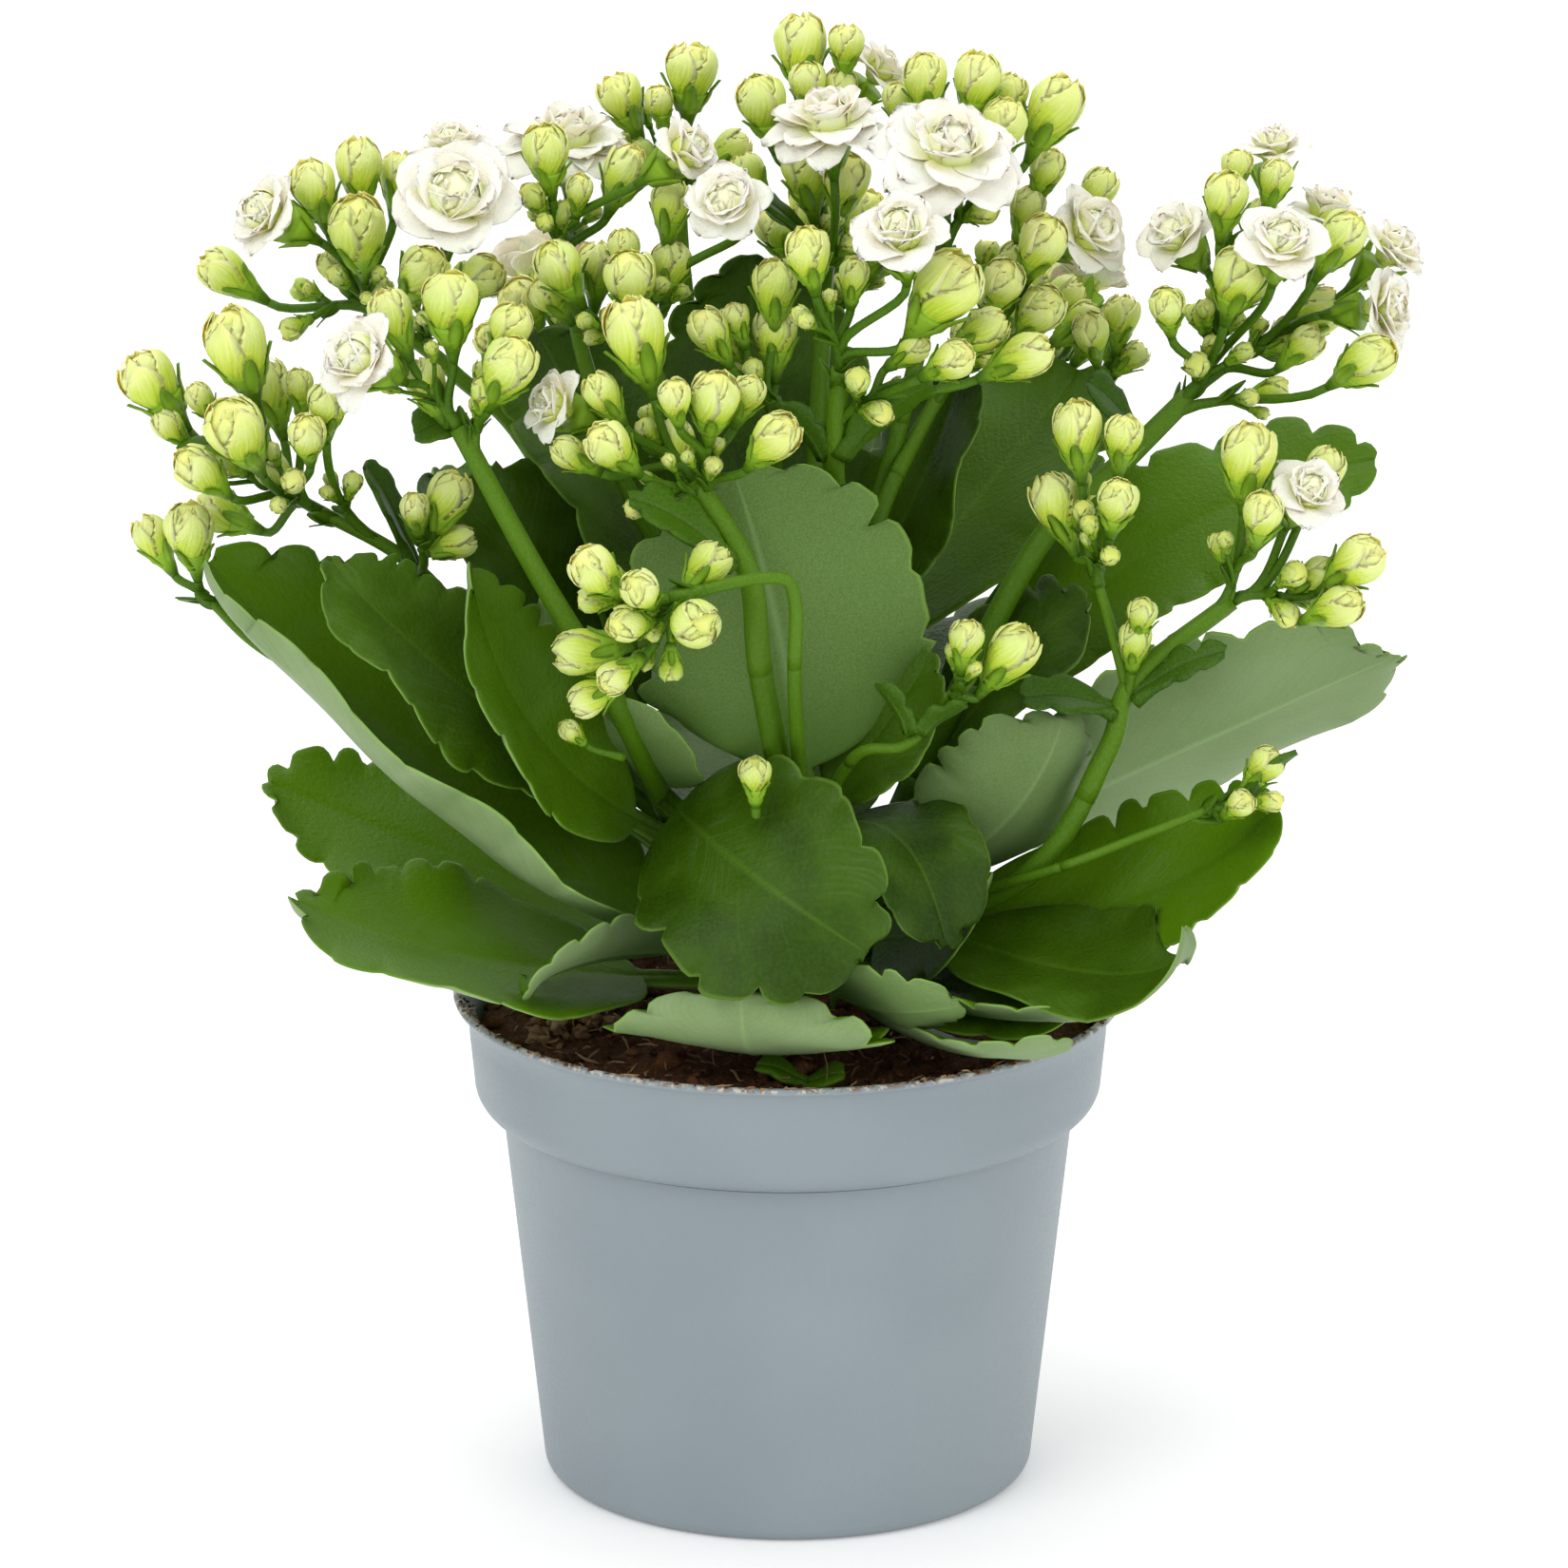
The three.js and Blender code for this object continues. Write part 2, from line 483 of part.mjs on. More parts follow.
    name: "right_low", stem: "right", from: 0.55, join: 0.4, radius: 0.9,
    path: [[38, -14, -24], [54, -8, -27], [64, -4, -27]],
    buds: [[73, 3, 2.8], [69, -3, 2.2]],
    blooms: [],
  },
  {
    name: "front_hook", stem: "front", from: 0.9, join: 0.3, radius: 1.2,
    path: [[1, 14, -36], [1, 28, -40], [-3, 31, -42], [-18, 28, -43]],
    buds: [[-29, 32, 3.6], [-22, 29, 3], [-12, 33, 3.2], [-14, 24, 3.8], [-24, 24, 2.9], [-31, 20, 3.7],
      [-26, 16, 2.7], [-30, 13, 2.9]],
    blooms: [],
  },
  {
    name: "front_twig", stem: "front", from: 0.93, join: 0.3, radius: 1,
    path: [[10, 4, -28], [18, 6, -30], [25, 13, -31]],
    buds: [[27, 22, 2.8], [34, 20, 3.9]],
    blooms: [],
  },
  {
    name: "back_left", stem: "back", from: 0.9, join: 0.4, radius: 1.5,
    path: [[-20, 45, 36], [-32, 66, 42]],
    buds: [[-42, 76, 3.6], [-36, 80, 4], [-30, 82, 3.4], [-46, 70, 3.4]],
    blooms: [{ at: [-40, 82, 52], face: [-0.3, 0.6, 0.8], span: 18 }],
  },
  {
    name: "back_middle", stem: "back", from: 0.95, join: 0.4, radius: 1.5,
    path: [[2, 50, 40], [6, 76, 44]],
    buds: [[-2, 88, 3.6], [4, 92, 4], [12, 90, 3.5], [16, 84, 3.2]],
    blooms: [{ at: [8, 90, 56], face: [0.1, 0.6, 0.8], span: 22, open: true }],
  },
  {
    name: "back_right", stem: "back", from: 0.85, join: 0.4, radius: 1.5,
    path: [[24, 44, 46], [38, 64, 52]],
    buds: [[34, 76, 3.6], [40, 80, 4], [46, 78, 3.4], [50, 72, 3.4]],
    blooms: [{ at: [48, 80, 50], face: [0.3, 0.6, 0.8], span: 14 }],
  },
];

// Where every bud and bloom stands: buds bulge toward the eye round the fork, and those of
// different pieces are moved along the line of sight until none touches another
const forkOf = (spray) => seen(...spray.path.at(-1));
const heads = [];
SPRAYS.forEach((spray) => {
  const [right, up, depth] = spray.path.at(-1);
  const reach = Math.max(...spray.buds.map(([a, b]) => Math.hypot(a - right, b - up)));
  spray.buds.forEach(([a, b, size], i) => {
    const bulge = Math.sqrt(Math.max(0, 1 - (Math.hypot(a - right, b - up) / reach) ** 2));
    const out = (i % 3 === 2 ? 0.35 : -0.75) * reach * bulge * 0.6;
    heads.push({ spray, size, right: a, up: b, depth: depth + out, bud: true });
  });
  spray.blooms.forEach((bloom) => {
    const [a, b, c] = bloom.at;
    heads.push({ spray, size: bloom.span * (bloom.open ? 0.5 : 0.44), right: a, up: b, depth: c, bloom });
  });
});
for (let round = 0; round < 80; round += 1)
  heads.forEach((one, i) =>
    heads.slice(i + 1).forEach((other) => {
      const flat = Math.hypot(one.right - other.right, one.up - other.up);
      const need = one.size + other.size + 0.6;
      const apart = other.depth - one.depth;
      const lack = Math.sqrt(Math.max(0, need ** 2 - flat ** 2)) - Math.abs(apart);
      if (lack <= 0) return;
      const push = (apart < 0 ? -0.3 : 0.3) * lack;
      one.depth -= push;
      other.depth += push;
    }),
  );
heads.forEach((head) => {
  head.place = seen(head.right, head.up, head.depth);
});

// The axis of a bud or bloom's stalklet: from a branch point to the neck, then along its face
function stalklet(fork, head) {
  const face = head.bloom
    ? vec(head.bloom.face).normalize()
    : head.place.clone().sub(fork).normalize().add(vec([0, -0.1, 0.45])).normalize();
  const back = head.bloom ? head.bloom.span * 0.2 + GAP : 0;
  const top = head.place.clone().addScaledVector(face, -back);
  const drop = head.bloom ? 6.5 : head.size * BUD.length;
  const neck = top.clone().addScaledVector(face, -Math.min(drop, 0.8 * top.distanceTo(fork)));
  return { face, top, neck };
}

// Spray: the stalk and its branches, with a stalklet and a swollen bud or calyx on each, in one piece
const pathOf = (spray) => {
  const start = spray.host
    ? pathOf(SPRAYS.find((other) => other.name === spray.host)).getPoint(spray.from)
    : stemCurves[spray.stem].getPoint(spray.from);
  return curveThrough([start, ...spray.path.map((point) => seen(...point))]);
};

// Where a branch to the neck leaves its stalk: low enough that it climbs, and doesn't stand straight
// out. spotAt and wayAt give the stalk's line and heading; shares are the places to try, top first.
function forkFor(neck, spotAt, wayAt, shares) {
  const rise = (t) => neck.clone().sub(spotAt(t)).normalize().dot(wayAt(t));
  const best = shares.reduce((a, b) => (rise(b) > rise(a) ? b : a));
  return spotAt(shares.find((t) => rise(t) > BRANCH.climb) ?? best);
}

function makeSpray(spray) {
  const curve = pathOf(spray);
  const start = spray.host ? 0 : spray.join + GAP / curve.getLength();
  const foot = spray.radius * (1 - (1 - STALK.tipShare) * start);
  const top = spray.radius * STALK.tipShare;
  const solids = [curvedBar(curve, start, 1, STALK.steps, foot, top, STALK.sides)];
  const own = heads.filter((head) => head.spray === spray);
  const whole = curve.getLength();
  const along = Array.from({ length: 25 }, (_, i) => 1 - (0.7 * i) / 24)
    .filter((t) => (1 - t) * whole <= BRANCH.reach);
  const spotAt = (t) => curve.getPoint(t);
  const wayAt = (t) => curve.getTangent(t);
  const branches = [];
  own.forEach((head, i) => {
    if (i % 3) return;
    const { neck } = stalklet(curve.getPoint(1), head);
    branches[i] = { fork: forkFor(neck, spotAt, wayAt, along), neck };
  });
  const parts = [0.75, 0.6, 0.45, 0.3, 0.15];
  own.forEach((head, i) => {
    const { face, top: seat, neck } = stalklet(curve.getPoint(1), head);
    let { fork } = branches[i] ?? {};
    if (!fork) {
      const nearness = (b) => neck.distanceTo(b.fork) + neck.distanceTo(b.neck);
      const near = branches.filter(Boolean).reduce((a, b) => (nearness(b) < nearness(a) ? b : a));
      const heading = near.neck.clone().sub(near.fork).normalize();
      fork = forkFor(neck, (t) => near.fork.clone().lerp(near.neck, t), () => heading, parts);
    }
    const centres = [fork, neck];
    const radii = [branches[i] ? BRANCH.radius : BRANCH.thin, BRANCH.thin];
    if (head.bloom) {
      centres.push(seat);
      radii.push(2.2);
    } else {
      const tip = seat.clone().addScaledVector(face, head.size * BUD.tip);
      centres.push(seat.clone().addScaledVector(face, 0.15 * head.size), tip);
      radii.push(head.size, head.size * BUD.tipShare);
    }
    solids.push(bar(centres, radii, BUD.sides));
  });
  return solids;
}

// Bloom: whorls of petals, one above the other, round a closed heart. Every whorl has the same
// number of petals and is turned by half a petal from the one below.
function makeBloom(head) {
  const { face, top } = stalklet(forkOf(head.spray), head);
  const root = top.addScaledVector(face, GAP);
  const side = vec([0, 1, 0]).cross(face).normalize();
  const half = head.bloom.span / 2;
  const count = head.bloom.open ? 6 : 5;
  const whorls = head.bloom.open
    ? [[half, 10, 0.3, 0.5], [half * 0.84, 34, 0.9, 0.5], [half * 0.62, 50, 1.5, 0.75]]
    : [[half, 30, 0.3, 0.5], [half * 0.84, 54, 1, 0.75]];
  const points = [root.toArray()];
  const faces = [];
  const wayAt = (turn) => side.clone().applyAxisAngle(face, (2 * Math.PI * turn) / count);
  const spotAt = (way, out, rise) =>
    root.clone().addScaledVector(way, out).addScaledVector(face, rise);
  let inner = null;
  whorls.forEach(([length, slope, lift, valley], whorl) => {
    const tilt = radians(slope);
    const turn = 0.5 * whorl;
    const start = points.length;
    [0, PETAL.thick].forEach((thick) => {
      const away = (out) => out * Math.cos(tilt) - thick * Math.sin(tilt);
      const rise = (out) => lift + out * Math.sin(tilt) + thick * Math.cos(tilt);
      for (let i = 0; i < count; i += 1) {
        const way = wayAt(i + turn);
        const across = face.clone().cross(way);
        const wide = PETAL.wideAt * length;
        const room = 0.92 * away(wide) * Math.tan(Math.PI / count);
        const breadth = Math.min(PETAL.wide * length, room);
        const shoulder = spotAt(way, away(wide), rise(wide));
        const dip = valley * length;
        points.push(spotAt(wayAt(i + turn - 0.5), away(dip), rise(dip)).toArray());
        points.push(shoulder.clone().addScaledVector(across, -breadth).toArray());
        points.push(shoulder.addScaledVector(across, breadth).toArray());
      }
    });
    const rim = 3 * count;
    const low = (i) => start + (i % rim);
    const high = (i) => start + rim + (i % rim);
    for (let i = 0; i < rim; i += 3) {
      const below = inner === null ? 0 : inner + ((i + 3) % rim);
      for (let k = i; k < i + 3; k += 1) {
        faces.push([below, low(k + 1), low(k)]);
        faces.push([low(k), low(k + 1), high(k + 1)], [low(k), high(k + 1), high(k)]);
      }
      if (inner !== null) faces.push([inner + i, below, low(i)]);
      faces.push([high(i), high(i + 1), high(i + 2)], [high(i), high(i + 2), high(i + 3)]);
    }
    inner = start + rim;
  });
  const bud = points.length;
  const nest = vec(points[inner]).sub(root);
  const foot = nest.dot(face);
  const wide = 0.75 * nest.addScaledVector(face, -foot).length();
  for (let i = 0; i < count; i += 1)
    points.push(spotAt(wayAt(i + 0.5 * (whorls.length - 1)), wide, foot + 0.12 * half).toArray());
  points.push(spotAt(side, 0, foot + 0.26 * half).toArray());
  for (let i = 0; i < count; i += 1) {
    const next = (i + 1) % count;
    faces.push([inner + 3 * i, inner + 3 * next, bud + i], [bud + i, inner + 3 * next, bud + next]);
    faces.push([bud + i, bud + next, bud + count]);
  }
  return solidFromFaces(points, faces);
}

// Leafy stem: the stem, its leaves and the foot of each flower stalk, in one piece
function makeLeafyStem(name) {
  const curve = stemCurves[name];
  const leaves = LEAVES.filter((leaf) => leaf.stem === name);
  const stalks = SPRAYS.filter((spray) => spray.stem === name);
  const solids = [
    curvedBar(curve, 0, 1, STEM.steps, STEM.footRadius, STEM.topRadius, STEM.sides),
    ...leaves.map((leaf) => makeLeaf(curve.getPoint(leaf.from), leaf)),
    ...stalks.map(({ join, radius, ...spray }) => {
      const top = radius * (1 - (1 - STALK.tipShare) * join);
      return curvedBar(pathOf(spray), 0, join, 2, radius, top, STALK.sides);
    }),
  ];
  return largest(fuse(solids));
}

// Finishes and the assembled plant
const finish = (color, roughness) => new THREE.MeshStandardMaterial({ color, roughness, metalness: 0 });
const potPlastic = finish(0x97a3a9, 0.45);
const soilPeat = finish(0x3a2417, 0.95);
const leafGreen = finish(0x3f6b2c, 0.4);
const budGreen = finish(0xb5c95e, 0.5);
const petalWhite = finish(0xf4f0e4, 0.55);

const plant = new THREE.Group();

function addPiece(name, solid, material) {
  const mesh = solid.getMesh();
  const geometry = new THREE.BufferGeometry();
  geometry.setAttribute("position", new THREE.BufferAttribute(new Float32Array(mesh.vertProperties), 3));
  geometry.setIndex(new THREE.BufferAttribute(new Uint32Array(mesh.triVerts), 1));
  geometry.computeVertexNormals();
  const piece = new THREE.Mesh(geometry, material);
  piece.name = name;
  plant.add(piece);
}

addPiece("pot", makePot(), potPlastic);
addPiece("potting_soil", makeSoil(), soilPeat);
Object.keys(STEMS).forEach((name) => addPiece(`leafy_stem_${name}`, makeLeafyStem(name), leafGreen));
SPRAYS.filter((spray) => !spray.host).forEach((spray) => {
  const guests = SPRAYS.filter((other) => other.host === spray.name);
  addPiece(`spray_${spray.name}`, fuse([spray, ...guests].flatMap(makeSpray)), budGreen);
});
SPRAYS.forEach((spray) => {
  const blooms = heads.filter((head) => head.spray === spray && head.bloom);
  blooms.forEach((head, i) => addPiece(`bloom_${spray.name}_${i + 1}`, makeBloom(head), petalWhite));
});

export default plant;
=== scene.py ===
import math
import random

import bpy
import bmesh
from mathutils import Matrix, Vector, noise


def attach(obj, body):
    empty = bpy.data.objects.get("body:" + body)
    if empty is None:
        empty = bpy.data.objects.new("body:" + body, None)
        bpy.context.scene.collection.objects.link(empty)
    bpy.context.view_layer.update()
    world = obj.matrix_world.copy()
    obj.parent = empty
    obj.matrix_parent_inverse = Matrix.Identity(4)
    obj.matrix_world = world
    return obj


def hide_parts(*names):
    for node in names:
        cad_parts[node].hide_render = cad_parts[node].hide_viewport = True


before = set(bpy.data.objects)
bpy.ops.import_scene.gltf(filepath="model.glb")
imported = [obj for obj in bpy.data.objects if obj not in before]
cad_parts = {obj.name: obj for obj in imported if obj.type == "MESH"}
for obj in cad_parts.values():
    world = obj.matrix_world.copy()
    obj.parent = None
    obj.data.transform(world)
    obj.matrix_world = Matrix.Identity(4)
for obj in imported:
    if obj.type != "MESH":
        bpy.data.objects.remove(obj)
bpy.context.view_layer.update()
print("frame loaded,", len(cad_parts), "nodes")

metre = 0.001
fullTurn = 2 * math.pi

# How the plant is set out: right and up as seen from the front, and the depth behind
sight = {"tilt": math.radians(16.3), "height": 111.6}


def seen(right, up, depth):
    down = depth * math.sin(sight["tilt"])
    return Vector((right, depth, sight["height"] + (up - down) / math.cos(sight["tilt"])))


def smooth(low, high, x):
    t = min(1.0, max(0.0, (x - low) / (high - low)))
    return t * t * (3 - 2 * t)


def mix(a, b, t):
    return a + (b - a) * t


def linear(r, g, b):  # a colour as seen on a screen, 0 to 255, as the shader wants it
    def one(c):
        c /= 255
        return c / 12.92 if c < 0.04045 else ((c + 0.055) / 1.055) ** 2.4

    return (one(r), one(g), one(b), 1.0)


# Curves: a smooth line through a list of points, t from 0 to 1
def curveAt(points, t):
    spans = len(points) - 1
    at = min(max(t, 0.0), 1.0) * spans
    i = min(int(at), spans - 1)
    w = at - i
    b, c = points[i], points[i + 1]
    a = points[i - 1] if i > 0 else b * 2 - c
    d = points[i + 2] if i + 2 <= spans else c * 2 - b
    t0, t1 = (c - a) * 0.5, (d - b) * 0.5
    return b + t0 * w + (b * -3 + c * 3 - t0 * 2 - t1) * w ** 2 + (b * 2 - c * 2 + t0 + t1) * w ** 3


def curveWay(points, t):
    low, high = max(0.0, t - 0.0001), min(1.0, t + 0.0001)
    return (curveAt(points, high) - curveAt(points, low)).normalized()


def curveLength(points):
    spots = [curveAt(points, i / 200) for i in range(201)]
    return sum((b - a).length for a, b in zip(spots, spots[1:]))


# Building meshes: a shape gathers corners and faces, then becomes one object
def newShape():
    return {"spots": [], "faces": [], "skins": [], "uvs": [], "tones": []}


def addFace(shape, corners, skin, uv):
    shape["faces"].append(corners)
    shape["skins"].append(skin)
    shape["uvs"].append(uv)


# Rings, each a list of spots, joined into a body that is closed at both ends. Its uv runs across
# the rings and along them, skin says which finish each strip of faces takes, and tone is one
# shade or one for each ring.
def addRings(shape, rings, skin, tone, along=None, across=None):
    start = len(shape["spots"])
    size = len(rings[0])
    last = len(rings) - 1
    along = along or [i / last for i in range(len(rings))]
    across = across or [k / size for k in range(size + 1)]
    shades = tone if isinstance(tone, list) else [tone] * len(rings)
    skinOf = skin if callable(skin) else lambda k: skin
    for ring, shade in zip(rings, shades):
        shape["spots"].extend(ring)
        shape["tones"].extend([shade] * size)
    for row in range(last):
        for k in range(size):
            a, b = start + row * size + k, start + row * size + (k + 1) % size
            uv = ((across[k], along[row]), (across[k + 1], along[row]),
                  (across[k + 1], along[row + 1]), (across[k], along[row + 1]))
            addFace(shape, (a, b, b + size, a + size), skinOf(k), uv)
    for row in (0, last):
        pole = len(shape["spots"])
        shape["spots"].append(sum(rings[row], Vector()) / size)
        shape["tones"].append(shades[row])
        for k in range(size):
            a, b = start + row * size + k, start + row * size + (k + 1) % size
            corners = (pole, b, a) if row == 0 else (pole, a, b)
            addFace(shape, corners, skinOf(k), ((across[k], along[row]),) * 3)


# The way out from an axis at one turn round it, and at each of a number of even turns
def outAt(side, over, turn):
    return side * math.cos(turn) + over * math.sin(turn)


def spokes(side, over, count):
    return [outAt(side, over, fullTurn * k / count) for k in range(count)]


# A round tube through the spots, with a radius at each
def addTube(shape, spots, radii, sides, skin, tone, ways=None):
    rings = []
    side = None
    for i, spot in enumerate(spots):
        way = ways[i] if ways else (spots[min(i + 1, len(spots) - 1)] - spots[max(i - 1, 0)]).normalized()
        if side is None:
            side = Vector((1, 0, 0)) if abs(way.x) < 0.8 else Vector((0, 1, 0))
        side = (side - way * side.dot(way)).normalized()
        rings.append([spot + out * radii[i] for out in spokes(side, way.cross(side), sides)])
    addRings(shape, rings, skin, tone)


def finishShape(shape, name, finishes, nodes=()):
    mesh = bpy.data.meshes.new(name)
    mesh.from_pydata([spot * metre for spot in shape["spots"]], [], shape["faces"])
    for finish in finishes:
        mesh.materials.append(finish)
    mesh.polygons.foreach_set("material_index", shape["skins"])
    mesh.polygons.foreach_set("use_smooth", [True] * len(shape["faces"]))
    grain = mesh.uv_layers.new(name="grain")
    grain.data.foreach_set("uv", [n for face in shape["uvs"] for corner in face for n in corner])
    tone = mesh.attributes.new("tone", "FLOAT", "POINT")
    tone.data.foreach_set("value", shape["tones"])
    work = bmesh.new()
    work.from_mesh(mesh)
    bmesh.ops.recalc_face_normals(work, faces=work.faces)
    work.to_mesh(mesh)
    work.free()
    piece = bpy.data.objects.new(name, mesh)
    bpy.context.scene.collection.objects.link(piece)
    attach(piece, "root")
    if nodes:
        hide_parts(*nodes)
    return piece


# Building finishes: a number or a colour is set on its socket, anything else is linked to it
def plug(tree, socket, value):
    if isinstance(value, (int, float, tuple)):
        socket.default_value = value
    else:
        tree.links.new(value, socket)


def addMath(tree, kind, *values, clamp=False):
    node = tree.nodes.new("ShaderNodeMath")
    node.operation = kind
    node.use_clamp = clamp
    for socket, value in zip(node.inputs, values):
        plug(tree, socket, value)
    return node.outputs[0]


def addRange(tree, value, low, high, newLow=0.0, newHigh=1.0):
    node = tree.nodes.new("ShaderNodeMapRange")
    node.interpolation_type = "SMOOTHSTEP"
    tree.links.new(value, node.inputs["Value"])
    for label, number in (("From Min", low), ("From Max", high), ("To Min", newLow), ("To Max", newHigh)):
        node.inputs[label].default_value = number
    return node.outputs[0]


def addNoise(tree, vector, scale, detail=3.0, rough=0.55):
    node = tree.nodes.new("ShaderNodeTexNoise")
    tree.links.new(vector, node.inputs["Vector"])
    plug(tree, node.inputs["Scale"], scale)
    node.inputs["Detail"].default_value = detail
    node.inputs["Roughness"].default_value = rough
    return node.outputs["Fac"]


def addBlend(tree, share, a, b):
    node = tree.nodes.new("ShaderNodeMix")
    node.data_type = "RGBA"
    for socket, value in ((node.inputs[0], share), (node.inputs[6], a), (node.inputs[7], b)):
        plug(tree, socket, value)
    return node.outputs[2]


# Coats of colour over a base, each with the mask that it shows through and its strength
def addCoats(tree, base, *coats):
    for mask, strength, colour in coats:
        base = addBlend(tree, addMath(tree, "MULTIPLY", mask, strength), base, colour)
    return base


def addSpot(tree, x, y):
    node = tree.nodes.new("ShaderNodeCombineXYZ")
    tree.links.new(x, node.inputs[0])
    tree.links.new(y, node.inputs[1])
    return node.outputs[0]


def uvOf(tree):
    uv = tree.nodes.new("ShaderNodeUVMap")
    uv.uv_map = "grain"
    split = tree.nodes.new("ShaderNodeSeparateXYZ")
    tree.links.new(uv.outputs[0], split.inputs[0])
    return split.outputs[0], split.outputs[1]


def placeOf(tree):
    return tree.nodes.new("ShaderNodeTexCoord").outputs["Object"]


def toneOf(tree):
    node = tree.nodes.new("ShaderNodeAttribute")
    node.attribute_name = "tone"
    return node.outputs["Fac"]


# Shader groups that several finishes share
def newGroup(name, inputs, outputs):
    group = bpy.data.node_groups.new(name, "ShaderNodeTree")
    for label, value in inputs.items():
        socket = group.interface.new_socket(label, in_out="INPUT", socket_type="NodeSocketFloat")
        socket.default_value = value
    for label in outputs:
        group.interface.new_socket(label, in_out="OUTPUT", socket_type="NodeSocketFloat")
    return group, group.nodes.new("NodeGroupInput").outputs, group.nodes.new("NodeGroupOutput").inputs


# Mottle: a broad and a fine unevenness over a surface, both 0 to 1
def makeMottle():
    group, given, made = newGroup("mottle", {"Broad": 60.0, "Fine": 900.0}, ("Broad", "Fine"))
    place = placeOf(group)
    group.links.new(addRange(group, addNoise(group, place, given["Broad"], 2.0), 0.35, 0.65), made["Broad"])
    group.links.new(addRange(group, addNoise(group, place, given["Fine"], 3.0, 0.6), 0.3, 0.7), made["Fine"])
    return group


# Petal veins: fine lines that run up a petal, drawn out along it
def makePetalVeins():
    group, given, made = newGroup("petalVeins", {"Across": 20.0, "Along": 2.0}, ("Veins",))
    across, along = uvOf(group)
    lie = addSpot(group, addMath(group, "MULTIPLY", across, given["Across"]),
                  addMath(group, "MULTIPLY", along, given["Along"]))
    group.links.new(addNoise(group, lie, 1.0, 2.0), made["Veins"])
    return group


# Leaf lines: masks for the midrib, the side veins, the margin and fine streaks, from the leaf's uv
def makeLeafLines():
    outputs = ("Midrib", "Side veins", "Margin", "Along", "Streaks")
    group, given, made = newGroup("leafLines", {"Veins": 6.0, "Margin": 0.93}, outputs)
    crosswise, along = uvOf(group)
    across = addMath(group, "ABSOLUTE", addMath(group, "MULTIPLY_ADD", crosswise, 2.0, -1.0))
    thin = addMath(group, "MULTIPLY_ADD", along, -0.05, 0.075)  # the midrib narrows towards the tip
    rib = addMath(group, "SUBTRACT", 1.0, addMath(group, "DIVIDE", across, thin), clamp=True)
    sweep = addMath(group, "SUBTRACT", addMath(group, "MULTIPLY", along, given["Veins"]),
                    addMath(group, "MULTIPLY", across, 1.9))
    wave = addMath(group, "ABSOLUTE", addMath(group, "SINE", addMath(group, "MULTIPLY", sweep, math.pi)))
    veins = addMath(group, "MULTIPLY", addRange(group, wave, 0.0, 0.16, 1.0, 0.0),
                    addRange(group, across, 0.55, 0.95, 1.0, 0.0))
    rim = addMath(group, "DIVIDE", addMath(group, "SUBTRACT", across, given["Margin"]), 0.04, clamp=True)
    lie = addSpot(group, addMath(group, "MULTIPLY", sweep, 7.0), across)  # out with the side veins
    streaks = addRange(group, addNoise(group, lie, 1.6, 4.0, 0.7), 0.42, 0.72)
    for label, value in zip(outputs, (rib, veins, rim, along, streaks)):
        group.links.new(value, made[label])
    return group


mottle, petalVeins, leafLines = makeMottle(), makePetalVeins(), makeLeafLines()


def placeGroup(tree, group, **values):
    node = tree.nodes.new("ShaderNodeGroup")
    node.node_tree = group
    for label, value in values.items():
        node.inputs[label].default_value = value
    return node.outputs


def newFinish(name, roughness, **fixed):
    finish = bpy.data.materials.new(name)
    finish.use_nodes = True
    tree = finish.node_tree
    shader = tree.nodes["Principled BSDF"]
    shader.inputs["Roughness"].default_value = roughness
    for label, value in fixed.items():
        shader.inputs[label.replace("_", " ")].default_value = value
    return finish, tree, shader


# Colour and fine relief of a finish, and its roughness where that changes over the surface
def dress(tree, shader, colour, height, strength, distance, rough=None):
    tree.links.new(colour, shader.inputs["Base Color"])
    bump = tree.nodes.new("ShaderNodeBump")
    bump.inputs["Strength"].default_value = strength
    bump.inputs["Distance"].default_value = distance
    tree.links.new(height, bump.inputs["Height"])
    tree.links.new(bump.outputs[0], shader.inputs["Normal"])
    if rough:
        tree.links.new(rough, shader.inputs["Roughness"])


# Leaf finishes: deep waxy green above with pale streaks of painted sheen, pale grey-green with fine speckles
# below
leafLook = {
    "deep": linear(26, 48, 5), "fresh": linear(80, 119, 7), "vein": linear(90, 130, 34),
    # sheen: the pale grey of painted gloss highlights streaked along the blade
    "margin": linear(134, 176, 70), "sheen": linear(146, 164, 140), "gloss": 0.3, "marginFrom": 0.965,
    "under": linear(134, 156, 110), "underDeep": linear(82, 114, 42), "speckle": linear(150, 170, 124),
    "underRib": linear(140, 172, 110), "underFoot": linear(98, 144, 46), "veins": 6.0,
}


def makeLeafUpper():
    look = leafLook
    finish, tree, shader = newFinish("leafUpper", look["gloss"], Specular_IOR_Level=0.13)
    lines = placeGroup(tree, leafLines, Veins=look["veins"], Margin=look["marginFrom"])
    spots = placeGroup(tree, mottle, Broad=55.0, Fine=1400.0)
    sheenPatches = addRange(tree, spots["Broad"], 0.55, 1.0)  # where the streaks of painted sheen show: painted gloss highlights on the waxy blade
    colour = addCoats(
        tree, addBlend(tree, toneOf(tree), look["deep"], look["fresh"]),
        (spots["Broad"], 0.35, look["fresh"]),
        (spots["Fine"], 0.1, look["vein"]),
        # painted sheen: pale streaks that stand for gloss highlights
        (addMath(tree, "MULTIPLY", lines["Streaks"], sheenPatches), 0.1, look["sheen"]),
        (lines["Side veins"], 0.07, look["vein"]),
        (lines["Midrib"], 0.3, look["vein"]),
        (lines["Margin"], 0.4, look["margin"]),
    )
    relief = addMath(tree, "MULTIPLY_ADD", lines["Streaks"], -0.12,
                     addMath(tree, "MULTIPLY", spots["Fine"], 0.22))
    dress(tree, shader, colour, relief, 0.5, 0.0005,
          addMath(tree, "MULTIPLY_ADD", spots["Broad"], 0.14, look["gloss"] - 0.06))
    return finish


